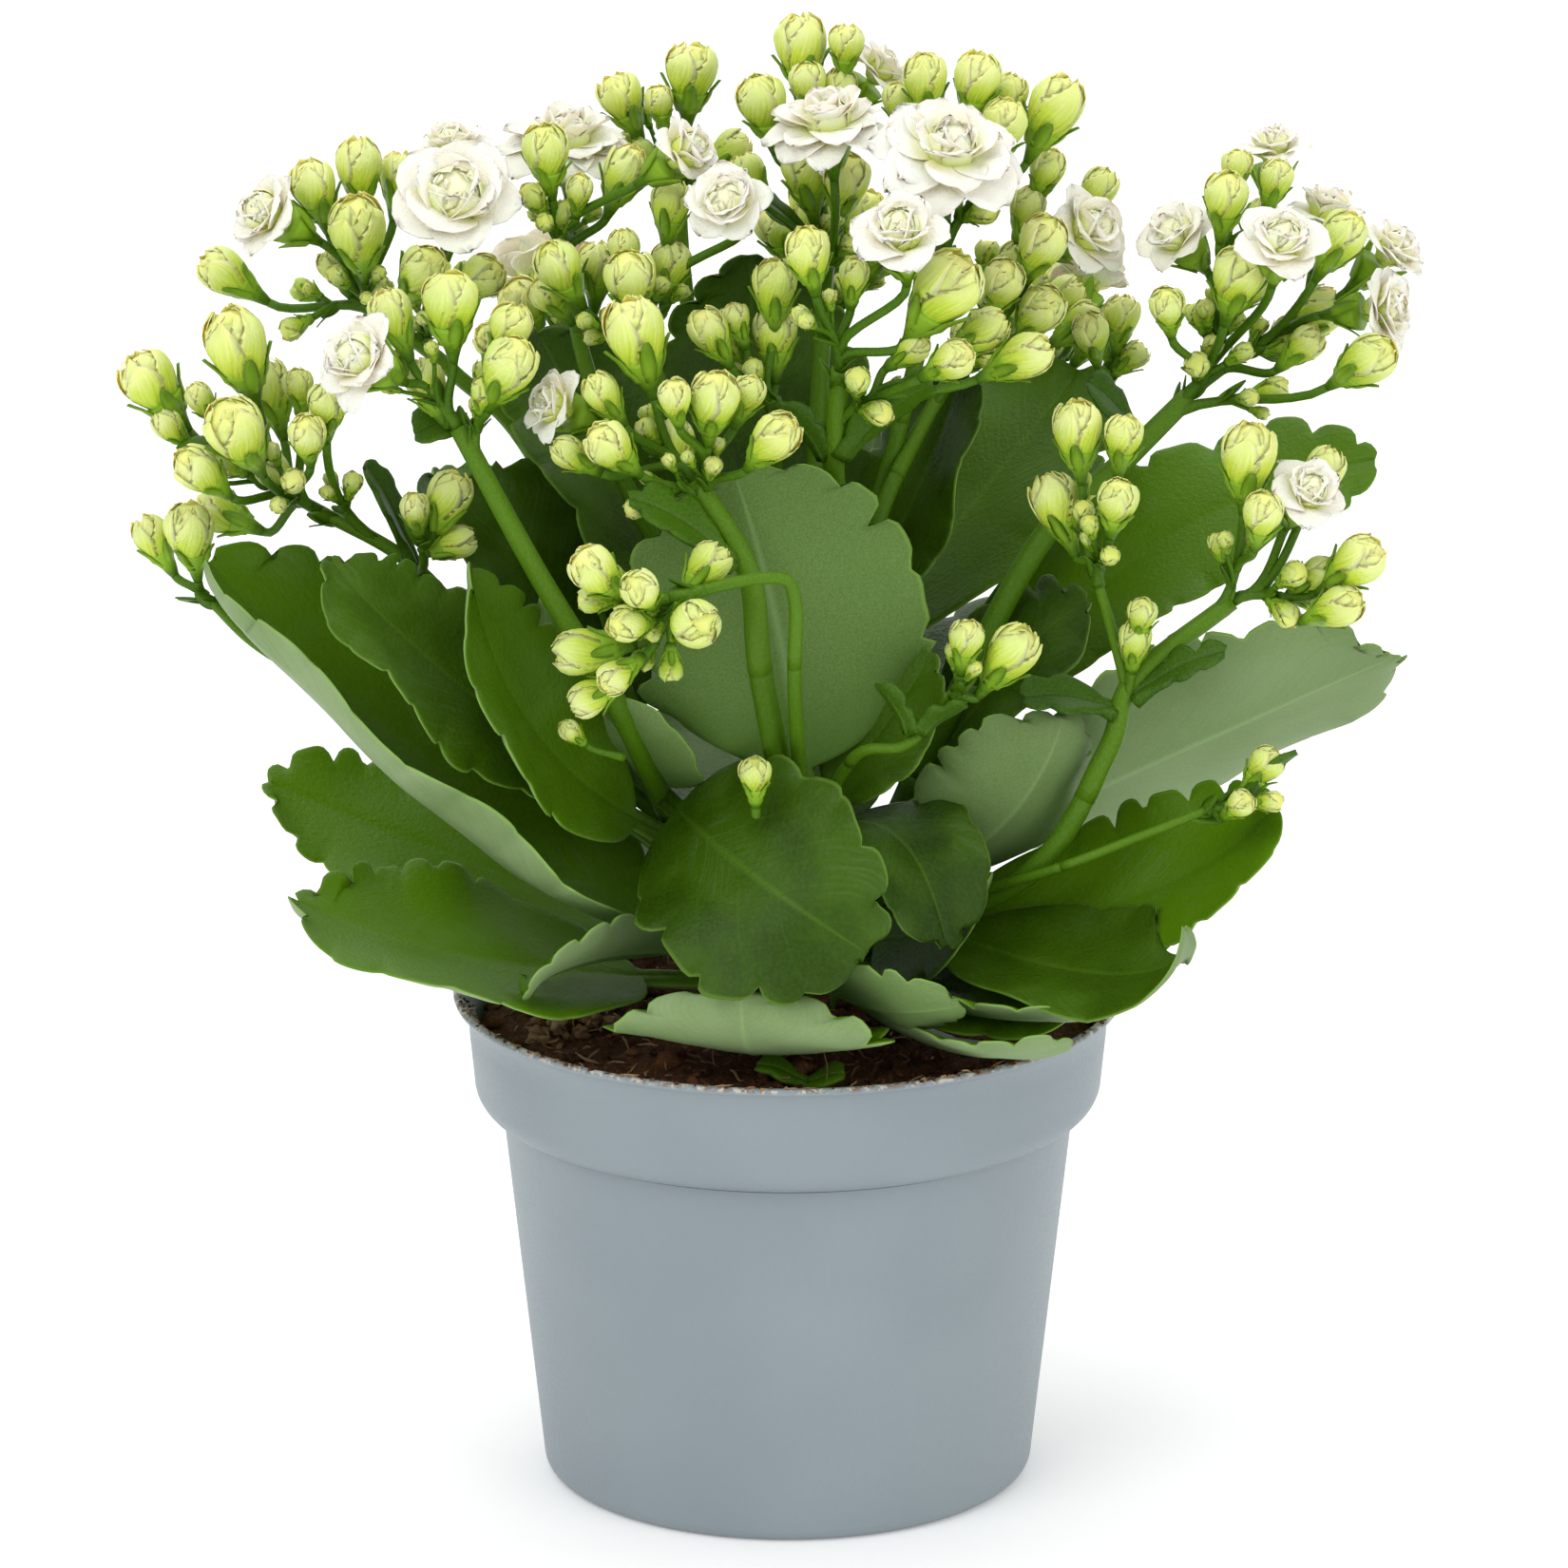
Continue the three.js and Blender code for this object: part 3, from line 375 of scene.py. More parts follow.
def makeLeafUnder():
    look = leafLook
    finish, tree, shader = newFinish("leafUnder", 0.55, Specular_IOR_Level=0.2)
    lines = placeGroup(tree, leafLines, Veins=look["veins"], Margin=look["marginFrom"])
    spots = placeGroup(tree, mottle, Broad=45.0, Fine=3200.0)
    colour = addCoats(
        tree, addBlend(tree, toneOf(tree), look["underDeep"], look["under"]),
        (spots["Broad"], 0.4, look["underDeep"]),
        (spots["Fine"], 0.2, look["speckle"]),
        (addRange(tree, lines["Along"], 0.05, 0.5, 0.55, 0.0), 1.0, look["underFoot"]),
        (lines["Streaks"], 0.18, look["underDeep"]),
        (lines["Midrib"], 0.4, look["underRib"]),
        (lines["Margin"], 0.8, look["margin"]),
    )
    dress(tree, shader, colour, spots["Fine"], 0.12, 0.0002)
    return finish


# Stalks and the cups under the buds
stalkLook = {"bright": linear(68, 107, 6), "deep": linear(42, 76, 6), "calyx": linear(140, 180, 46),
             "speckle": linear(140, 180, 66), "gloss": 0.38, "calyxFrom": 0.7}


def makeStalkGreen():
    look = stalkLook
    finish, tree, shader = newFinish("stalkGreen", look["gloss"], Specular_IOR_Level=0.16)
    spots = placeGroup(tree, mottle, Broad=90.0, Fine=2600.0)
    tone = toneOf(tree)  # stalks up to calyxFrom, and the cups from there to 1
    stalk = addBlend(tree, addRange(tree, tone, 0.0, look["calyxFrom"]), look["deep"], look["bright"])
    base = addBlend(tree, addRange(tree, tone, look["calyxFrom"], 1.0), stalk, look["calyx"])
    colour = addCoats(tree, base, (spots["Broad"], 0.25, look["bright"]),
                      (spots["Fine"], 0.12, look["speckle"]))
    dress(tree, shader, colour, spots["Fine"], 0.2, 0.0002)
    return finish


# Buds: green at the foot, cream at the crown. The uv runs across each wrapped petal and from the
# foot of the bud to its tip.
budLook = {
    "foot": linear(148, 186, 26), "belly": linear(216, 222, 70), "crown": linear(241, 238, 150),
    # edge: pale petal margins, made paler as painted light over the shade in the gaps between petals
    "edge": linear(248, 246, 188), "speck": linear(150, 112, 50),
}


def makeBudGreen():
    look = budLook
    finish, tree, shader = newFinish("budGreen", 0.44, Specular_IOR_Level=0.3, Subsurface_Weight=0.3,
                                     Subsurface_Scale=0.003)
    across, along = uvOf(tree)
    spots = placeGroup(tree, mottle, Broad=140.0, Fine=2400.0)
    vein = addRange(tree, placeGroup(tree, petalVeins, Across=16.0, Along=1.6)["Veins"], 0.4, 0.62)
    climb = addMath(tree, "SUBTRACT", along, addMath(tree, "MULTIPLY", vein, 0.16))
    body = addBlend(tree, addRange(tree, climb, 0.02, 0.38), look["foot"], look["belly"])
    high = addBlend(tree, addRange(tree, climb, 0.3, 0.72), body, look["crown"])
    rim = addMath(tree, "ABSOLUTE", addMath(tree, "MULTIPLY_ADD", across, 2.0, -1.0))
    # pale petal edges, partly their own colour and partly painted light over the shade where petals overlap
    lip = addMath(tree, "MULTIPLY", addRange(tree, rim, 0.7, 1.0), addRange(tree, along, 0.2, 0.6, 0.1, 0.7))
    fleck = addRange(tree, addNoise(tree, placeOf(tree), 1400.0, 2.0), 0.58, 0.68)
    tip = addMath(tree, "MULTIPLY", fleck, addRange(tree, along, 0.92, 1.0))
    colour = addCoats(tree, high, (toneOf(tree), 0.7, look["foot"]), (lip, 1.0, look["edge"]),
                      (tip, 0.15, look["speck"]), (spots["Broad"], 0.25, look["belly"]))
    dress(tree, shader, colour, addMath(tree, "MULTIPLY_ADD", vein, 0.8, spots["Fine"]), 0.25, 0.0003)
    return finish


# Bloom petals: white, cream towards the heart, with fine veins
petalLook = {"heart": linear(214, 222, 104), "cream": linear(240, 238, 184), "white": linear(246, 240, 227),
             "vein": linear(226, 220, 196), "tip": linear(206, 176, 148)}


def makePetalWhite():
    look = petalLook
    finish, tree, shader = newFinish("petalWhite", 0.5, Specular_IOR_Level=0.35, Subsurface_Weight=0.2,
                                     Subsurface_Scale=0.003)
    _, along = uvOf(tree)
    spots = placeGroup(tree, mottle, Broad=140.0, Fine=2200.0)
    tone = toneOf(tree)  # 1 at the heart of the bloom, 0 on the outer petals
    reach = addMath(tree, "SUBTRACT", along, addMath(tree, "MULTIPLY", tone, 0.55))
    body = addBlend(tree, addRange(tree, reach, 0.0, 0.3), look["heart"], look["cream"])
    white = addBlend(tree, addRange(tree, reach, 0.2, 0.65), body, look["white"])
    vein = placeGroup(tree, petalVeins, Across=26.0, Along=2.5)["Veins"]
    worn = addMath(tree, "MULTIPLY", addRange(tree, along, 0.94, 1.0), spots["Broad"])
    colour = addCoats(tree, white, (addRange(tree, vein, 0.55, 0.7), 0.12, look["vein"]),
                      (worn, 0.07, look["tip"]))
    dress(tree, shader, colour, addMath(tree, "MULTIPLY_ADD", vein, 1.2, spots["Fine"]), 0.3, 0.0004)
    return finish


# Pot: satin moulded plastic, dusted with soil at the lip, with a fine dark line of painted shade in the
# crease under the collar. Heights here are in metres.
potLook = {"blue": linear(128, 139, 145), "light": linear(138, 149, 154), "dust": linear(116, 88, 62),
           # seam: painted shade, the dark crease where the collar meets the body
           "chalk": linear(204, 200, 190), "seam": linear(40, 46, 50), "rough": 0.4,
           "seamAt": 0.0598, "dustFrom": 0.0777, "dustFull": 0.0783}


def makePotPlastic():
    look = potLook
    finish, tree, shader = newFinish("potPlastic", look["rough"], Specular_IOR_Level=0.45)
    place = placeOf(tree)
    split = tree.nodes.new("ShaderNodeSeparateXYZ")
    tree.links.new(place, split.inputs[0])
    height = split.outputs[2]
    spots = placeGroup(tree, mottle, Broad=22.0, Fine=1800.0)
    high = addRange(tree, height, look["dustFrom"], look["dustFull"])
    grit = addRange(tree, addNoise(tree, place, 520.0, 5.0, 0.75), 0.46, 0.58)
    pale = addRange(tree, addNoise(tree, place, 760.0, 3.0, 0.6), 0.5, 0.6)
    off = addMath(tree, "ABSOLUTE", addMath(tree, "SUBTRACT", height, look["seamAt"]))
    colour = addCoats(
        tree, addBlend(tree, addMath(tree, "MULTIPLY", spots["Broad"], 0.5), look["blue"], look["light"]),
        (addMath(tree, "MULTIPLY", high, grit), 0.75, look["dust"]),
        (addMath(tree, "MULTIPLY", high, pale), 0.7, look["chalk"]),
        # painted shade: a fine dark line along the crease under the collar
        (addRange(tree, off, 0.00012, 0.00034, 0.95, 0.0), 1.0, look["seam"]),
    )
    dress(tree, shader, colour, spots["Fine"], 0.12, 0.0002,
          addMath(tree, "MULTIPLY_ADD", spots["Fine"], 0.12, look["rough"]))
    return finish


# Potting soil and its fibres
soilLook = {"dark": linear(24, 15, 10), "brown": linear(112, 72, 44), "red": linear(176, 118, 70),
            "fibreDark": linear(70, 42, 26), "fibrePale": linear(178, 148, 112),
            "fibreBrown": linear(110, 72, 44)}


def makePeat():
    look = soilLook
    finish, tree, shader = newFinish("peat", 0.95, Specular_IOR_Level=0.2)
    place = placeOf(tree)
    spots = placeGroup(tree, mottle, Broad=180.0, Fine=1500.0)
    bright = addRange(tree, addNoise(tree, place, 900.0, 4.0, 0.7), 0.56, 0.68)
    colour = addCoats(tree, addBlend(tree, toneOf(tree), look["dark"], look["brown"]),
                      (spots["Fine"], 0.6, look["brown"]), (bright, 0.6, look["red"]))
    dress(tree, shader, colour, addNoise(tree, place, 600.0, 6.0, 0.75), 0.9, 0.0012)
    return finish


def makeFibre():
    look = soilLook
    finish, tree, shader = newFinish("peatFibre", 0.85, Specular_IOR_Level=0.25)
    spots = placeGroup(tree, mottle, Broad=300.0, Fine=2500.0)
    colour = addCoats(tree, addBlend(tree, toneOf(tree), look["fibreDark"], look["fibrePale"]),
                      (spots["Broad"], 0.4, look["fibreBrown"]))
    dress(tree, shader, colour, spots["Fine"], 0.5, 0.0004)
    return finish


leafUpper, leafUnder = makeLeafUpper(), makeLeafUnder()
stalkGreen, budGreen, petalWhite = makeStalkGreen(), makeBudGreen(), makePetalWhite()
potPlastic, peat, peatFibre = makePotPlastic(), makePeat(), makeFibre()
print("finishes made")

# Pot: its profile is turned from the underside up the outside, over the lip and down inside
pot = {
    "height": 78.5, "lipRadius": 52.5, "lipWidth": 2.6, "lipDrop": 7, "collarFoot": 49.2, "collarRound": 4.4,
    "seam": 60, "bodyTop": 44.9, "bodyFoot": 38.6, "footRound": 2.6, "wall": 1.2, "floor": 1.8, "sides": 144,
    "hub": 6, "flat": 30, "bulge": 0.35, "drains": 6, "drainRadius": 3, "drainCircle": 26,
}


def potProfile():
    p = pot
    shoulder = p["seam"] + p["collarRound"]
    lipFoot = p["height"] - p["lipDrop"]
    line = [(p["hub"], 0), (p["flat"], 0)]

    def arc(radius, z, over, up, start, end, steps):
        for i in range(steps + 1):
            a = math.radians(start + (end - start) * i / steps)
            line.append((radius + over * math.cos(a), z + up * math.sin(a)))

    arc(p["bodyFoot"] - p["footRound"], p["footRound"], p["footRound"], p["footRound"], -90, -6, 7)
    for i in range(1, 9):
        line.append((mix(p["bodyFoot"], p["bodyTop"], i / 9), mix(p["footRound"], p["seam"], i / 9)))
    line.append((p["bodyTop"] - 0.05, p["seam"] - 0.35))  # the fine step of the seam under the collar
    line.append((p["bodyTop"] + 0.02, p["seam"] - 0.1))
    arc(p["bodyTop"] + 0.25, shoulder, p["collarFoot"] - p["bodyTop"] - 0.25, p["collarRound"], -90, 0, 9)
    line.append((p["collarFoot"] + p["bulge"], mix(shoulder, lipFoot, 0.5)))
    arc(p["lipRadius"], lipFoot, p["lipWidth"], p["lipDrop"] - 0.9, 180, 95, 9)
    for back, drop in ((0.06, 0.42), (0.3, 0.1), (0.6, 0), (p["wall"], 0), (p["wall"] + 0.3, 0.3)):
        line.append((p["lipRadius"] - back, p["height"] - drop))
    line.append((p["lipRadius"] - p["lipWidth"] + 0.4 - p["wall"], p["height"] - p["lipDrop"] * 0.35))
    line.append((p["lipRadius"] - p["lipWidth"] - p["wall"], lipFoot))
    arc(p["bodyTop"] - p["wall"], shoulder, p["collarFoot"] - p["bodyTop"], p["collarRound"] - 0.4, 0, -90, 6)
    line.append((p["bodyFoot"] - p["wall"], p["floor"]))
    line.append((p["hub"], p["floor"]))
    return line


# A ring of spots round the upright axis, at one height or at the height that z gives for each
def levelRing(radius, z, sides):
    ring = []
    for k in range(sides):
        x, y = radius * math.cos(fullTurn * k / sides), radius * math.sin(fullTurn * k / sides)
        ring.append(Vector((x, y, z(x, y) if callable(z) else z)))
    return ring


def makePot():
    shape = newShape()
    addRings(shape, [levelRing(r, z, pot["sides"]) for r, z in potProfile()], 0, 0.5)
    piece = finishShape(shape, "pot", [potPlastic], ["pot"])
    cutters = newShape()
    for i in range(pot["drains"]):
        a = fullTurn * (i + 0.5) / pot["drains"]
        x, y = pot["drainCircle"] * math.cos(a), pot["drainCircle"] * math.sin(a)
        addTube(cutters, [Vector((x, y, -3)), Vector((x, y, 4))], [pot["drainRadius"]] * 2, 24, 0, 0.5)
    cutter = finishShape(cutters, "drainCutter", [potPlastic])
    holes = piece.modifiers.new("drains", "BOOLEAN")
    holes.operation = "DIFFERENCE"
    holes.solver = "EXACT"
    holes.object = cutter
    bpy.context.view_layer.objects.active = piece
    bpy.ops.object.modifier_apply(modifier="drains")
    bpy.data.objects.remove(cutter)


makePot()
print("pot made")

# Potting soil: the plug, lumps on top, fibres, and what has spilt on the lip
soil = {
    "foot": 2.1, "edge": 73.6, "mound": 2.6, "crumb": 0.7, "gap": 0.3, "sides": 108, "steps": 34, "seed": 11,
    "lumps": 620, "lumpReach": 46.3, "lumpSizes": (0.35, 0.5, 0.7, 0.9, 1.2, 1.7),
    "clod": (-33, -12), "clodLumps": 150, "clodSpread": (4.2, 2.2), "clodHeight": 4.4,
    "clodSizes": (0.5, 0.8, 1.1),
    "fibres": 240, "fibreReach": 43, "lipLumps": 520, "lipSizes": (0.14, 0.2, 0.28, 0.42), "lipFibres": 70,
}


def soilHeight(x, y):
    share = min(1.0, math.hypot(x, y) / 47.5)
    broad = math.sin(x * 0.41 + 1.3) * math.cos(y * 0.37)
    return (soil["edge"] + soil["mound"] * (1 - share ** 2)
            + soil["crumb"] * (broad + math.sin(x * 0.93 - y * 0.71 + 0.6)) * (1 - 0.5 * share)
            + 0.9 * noise.noise(Vector((x * 0.35, y * 0.35, 3.0))) + 0.5 * noise.noise(Vector((x, y, 9.0))))


def makeSoil():
    inset = pot["wall"] + soil["gap"]
    edge = pot["collarFoot"] - inset - 0.2
    sides, steps = soil["sides"], soil["steps"]
    walls = ((pot["bodyFoot"] - inset - 0.4, soil["foot"]), (pot["bodyTop"] - inset - 0.4, pot["seam"]),
             (edge - 0.3, pot["seam"] + pot["collarRound"]))
    rings = [levelRing(radius, z, sides) for radius, z in walls]
    rings += [levelRing(edge * (1 - i / steps), soilHeight, sides) for i in range(steps)]
    shape = newShape()
    addRings(shape, rings, 0, 0.25)
    finishShape(shape, "pottingSoil", [peat], ["potting_soil"])


def lumpForm():
    work = bmesh.new()
    bmesh.ops.create_icosphere(work, subdivisions=2, radius=1.0)
    spots = [v.co.copy() for v in work.verts]
    faces = [tuple(v.index for v in f.verts) for f in work.faces]
    work.free()
    return spots, faces


def addLump(shape, form, centre, size, skin, tone, rng):
    spots, faces = form
    shift = Vector((rng.uniform(-50, 50), rng.uniform(-50, 50), rng.uniform(-50, 50)))
    stretch = Vector((rng.uniform(0.7, 1.4), rng.uniform(0.7, 1.4), rng.uniform(0.55, 0.9)))
    start = len(shape["spots"])
    for spot in spots:
        rough = 1 + 0.6 * noise.noise(spot * 1.3 + shift) + 0.55 * noise.noise(spot * 2.9 + shift)
        shape["spots"].append(centre + spot * stretch * size * rough)
        shape["tones"].append(tone)
    for face in faces:
        addFace(shape, tuple(start + i for i in face), skin, ((0.5, 0.5),) * 3)


# A fibre that wanders from its start and lies on the floor below it, where one is given
def addFibre(shape, start, heading, length, radius, tone, rng, floor=None):
    spots, way = [start.copy()], Vector((math.cos(heading), math.sin(heading), rng.uniform(-0.1, 0.35)))
    for _ in range(5):
        stray = Vector((rng.uniform(-0.3, 0.3), rng.uniform(-0.3, 0.3), rng.uniform(-0.35, 0.2)))
        way = (way + stray).normalized()
        spot = spots[-1] + way * length / 5
        if floor:
            spot.z = max(spot.z, floor(spot.x, spot.y) + radius)
        spots.append(spot)
    addTube(shape, spots, [radius * s for s in (0.6, 1, 1, 0.9, 0.8, 0.4)], 5, 1, tone)


def strewn(reach, rng):
    radius, turn = reach * math.sqrt(rng.random()), rng.uniform(0, fullTurn)
    return radius, radius * math.cos(turn), radius * math.sin(turn)


def makeSoilLitter():
    rng = random.Random(soil["seed"])
    form = lumpForm()
    shape = newShape()
    for _ in range(soil["lumps"]):
        radius, x, y = strewn(soil["lumpReach"], rng)
        size = rng.choice(soil["lumpSizes"]) * rng.uniform(0.8, 1.1)
        size = min(size, 47.6 - radius) if radius > 44 else size  # clear of the pot's wall
        addLump(shape, form, Vector((x, y, soilHeight(x, y) + 0.25 * size)), size, 0, rng.random() ** 2, rng)
    for i in range(soil["clodLumps"]):  # a loose clod of peat at the left
        x, y = rng.gauss(0, 1), rng.gauss(0, 1)
        if math.hypot(x, y) > 2:
            continue
        spot = Vector((soil["clod"][0] + soil["clodSpread"][0] * x,
                       soil["clod"][1] + soil["clodSpread"][1] * y, 0))
        rise = rng.uniform(0.0, soil["clodHeight"]) * (1 - 0.45 * math.hypot(x, y))
        spot.z = soilHeight(spot.x, spot.y) + rise
        addLump(shape, form, spot, rng.choice(soil["clodSizes"]), rng.choice((0, 1, 1)),
                rng.uniform(0.4, 1.0), rng)
        if i % 3 == 0:
            addFibre(shape, spot, rng.uniform(0, 6.3), rng.uniform(2, 5), rng.uniform(0.1, 0.2),
                     rng.random(), rng)
    for _ in range(soil["fibres"]):
        _, x, y = strewn(soil["fibreReach"], rng)
        spot = Vector((x, y, soilHeight(x, y) + rng.uniform(0.3, 1.4)))
        addFibre(shape, spot, rng.uniform(0, 6.3), rng.uniform(2, 7), rng.uniform(0.1, 0.24), rng.random(),
                 rng, soilHeight)
    finishShape(shape, "soilLitter", [peat, peatFibre])
    makeLipDust(form, rng)


def makeLipDust(form, rng):
    shape = newShape()
    lip, top = pot["lipRadius"], pot["height"]
    for _ in range(soil["lipLumps"]):
        turn = rng.uniform(0, fullTurn)
        drop = rng.uniform(0.3, 2.4) if rng.random() < 0.4 else 0.03  # on the inner face, or on the lip
        radius = lip - (1.35 + 0.88 * drop if drop > 0.1 else rng.uniform(0.4, 1.2))
        spot = Vector((radius * math.cos(turn), radius * math.sin(turn), top - drop))
        addLump(shape, form, spot, rng.choice(soil["lipSizes"]), rng.choice((0, 1)), rng.random(), rng)
    for _ in range(soil["lipFibres"]):
        turn = rng.uniform(0, fullTurn)
        radius = lip - rng.uniform(0.7, 1.3)
        spot = Vector((radius * math.cos(turn), radius * math.sin(turn), top + 0.12))
        addFibre(shape, spot, turn + rng.choice((-1, 1)) * rng.uniform(1.6, 2.0), rng.uniform(1.0, 3.2),
                 rng.uniform(0.08, 0.16), rng.uniform(0.3, 1), rng, lambda x, y: top)
    finishShape(shape, "lipDust", [peat, peatFibre])


makeSoil()
makeSoilLitter()
print("soil made")

# Leafy stems and leaves. Tones and teeth are given for the leaves, by their order, that stand out.
stemLook = {"footRadius": 3.3, "topRadius": 2.3, "sides": 14, "steps": 26, "nodes": 5, "knuckle": 0.06}
leafForm = {
    "petiole": 0.16, "petioleHalf": 1.8, "petioleThick": 2.2, "thick": 1.2, "coarse": 0.03, "seed": 5,
    "tooth": 3.1, "pitch": 9.0, "uneven": (0.3, 1.45), "teeth": 40, "grown": 40, "rows": 1.1,
    "wave": 1.6, "waveRun": 5.2, "swell": 1.2, "ruffle": 0.7, "fade": 8, "groove": 0.28, "ridge": 0.45,
    "half": (0, 0.055, 0.2, 0.47, 0.72, 0.89, 0.98, 1),
    "tones": {0: 0.9, 1: 1.0, 2: 1.0, 3: 0.3, 4: 0.6, 7: 0.7, 8: 0.15, 9: 0.9, 11: 0.0, 13: 0.0,
              15: 0.8, 16: 0.9, 17: 0.9, 20: 0.45, 21: 1.0, 22: 0.3, 23: 1.0, 26: 0.6},
    "toothOf": {13: 1.7, 22: 0.45},
}

# Each stem is a line of points from the soil up: right, depth and height
stems = {
    "left": ((-9, -3, 62), (-11, -3, 88), (-20, -4, 112)),
    "right": ((9, -3, 62), (11, -3, 88), (20, -4, 114)),
    "front": ((0, -12, 62), (1, -14, 88), (3, -18, 110)),
    "centre": ((1, 5, 62), (1, 5, 95), (2, 6, 126)),
    "back": ((0, 15, 62), (0, 17, 90), (-2, 26, 112)),
}

# Each leaf is its stem and how far up that it grows, the middle and tip of its rib, its width, its
# roll and the curl of its two halves, in degrees
leaves = [
    ("left", 0.42, (-47, -17, 113), (-89, -14, 151), 50, 34, (80, 20)),
    ("left", 0.45, (-52, 4, 98), (-81, 6, 110), 29, 24, (15, 15)),
    ("left", 0.35, (-48, -26, 91), (-75, -28, 101), 39, 18, (24, 25)),
    ("left", 0.72, (-49, -27, 134), (-69, -30, 155), 27, 50, (20, 15)),
    ("left", 0.8, (-38, -30, 128), (-48, -33, 155), 26, 66, (30, 45)),
    ("left", 1, (-32, -12, 125), (-37, -15, 145), 27, 0, (20, 20)),
    ("left", 0.97, (-36, 1, 138), (-46, 5, 161), 34, 24, (20, 20)),
    ("left", 0.45, (-30, -30, 93), (-40, -38, 89), 17, -38, (30, 30)),
    ("left", 1, (-7, -39, 110), (12, -48, 99), 36, -50, (20, 26)),
    ("front", 0.4, (-5, -40, 81), (-7, -50, 93), 43, 0, (18, 16)),
    ("front", 0.5, (12, -38, 88), (26, -48, 91), 19, 40, (20, 20)),
    ("front", 0.95, (16, -31, 112.5), (24, -41, 98), 26, 0, (22, 22)),
    ("left", 1, (-22, -18, 122), (-29, -25, 133), 20, 20, (25, 25)),
    ("front", 1, (-1, -21, 140), (-8, -19, 166), 46, -86, (18, 18)),
    ("front", 1, (14, -19, 125), (22, -19, 138), 19, -50, (25, 25)),
    ("right", 0.42, (28, -22, 84), (46, -30, 86), 24, -20, (20, 20)),
    ("right", 0.4, (26, -31, 85), (44, -43, 87), 18, 20, (20, 20)),
    ("right", 0.33, (25, -37, 80.5), (43, -47, 84), 14, 20, (20, 20)),
    ("right", 0.5, (22, -20, 94), (31, -24, 104), 22, -50, (20, 20)),
    ("right", 0.6, (32, -18, 110), (42, -20, 128), 30, 40, (50, 40)),
    ("right", 0.65, (58, 7, 114), (94, 5, 131), 56, 42, (15, 20)),
    ("right", 0.55, (50, -16, 97), (75, -23, 115), 31, -36, (25, 20)),
    ("right", 0.6, (46, -33, 91), (62, -36, 97), 32, -18, (25, 25)),
    ("right", 0.92, (52, 18, 141), (92, 22, 158), 29, -30, (15, 25)),
    ("right", 0.85, (33, -5, 130), (46, -4, 142), 24, -30, (20, 20)),
    ("centre", 0.55, (11, 11, 110), (21, 14, 128), 30, 0, (20, 20)),
    ("centre", 0.9, (30, 28, 150), (46, 40, 168), 38, -10, (15, 15)),
    ("centre", 0.95, (18, 13, 150), (27, 18, 173), 28, -6, (20, 20)),
    ("centre", 0.92, (-25, 16, 156), (-39, 24, 178), 38, 14, (18, 18)),
    ("centre", 0.98, (-4, 22, 162), (-6, 26, 190), 34, 0, (18, 18)),
    ("back", 0.45, (-34, 34, 92), (-56, 44, 102), 40, -8, (18, 18)),
    ("back", 0.6, (-6, 48, 96), (-12, 74, 104), 42, 0, (18, 18)),
    ("back", 0.5, (31, 42, 92), (54, 57, 104), 40, 8, (18, 18)),
    ("back", 0.85, (-34, 46, 128), (-56, 62, 146), 42, -6, (22, 22)),
    ("back", 0.97, (10, 54, 134), (14, 78, 150), 42, 0, (22, 22)),
    ("back", 0.75, (40, 46, 124), (64, 60, 138), 40, 8, (22, 22)),
]

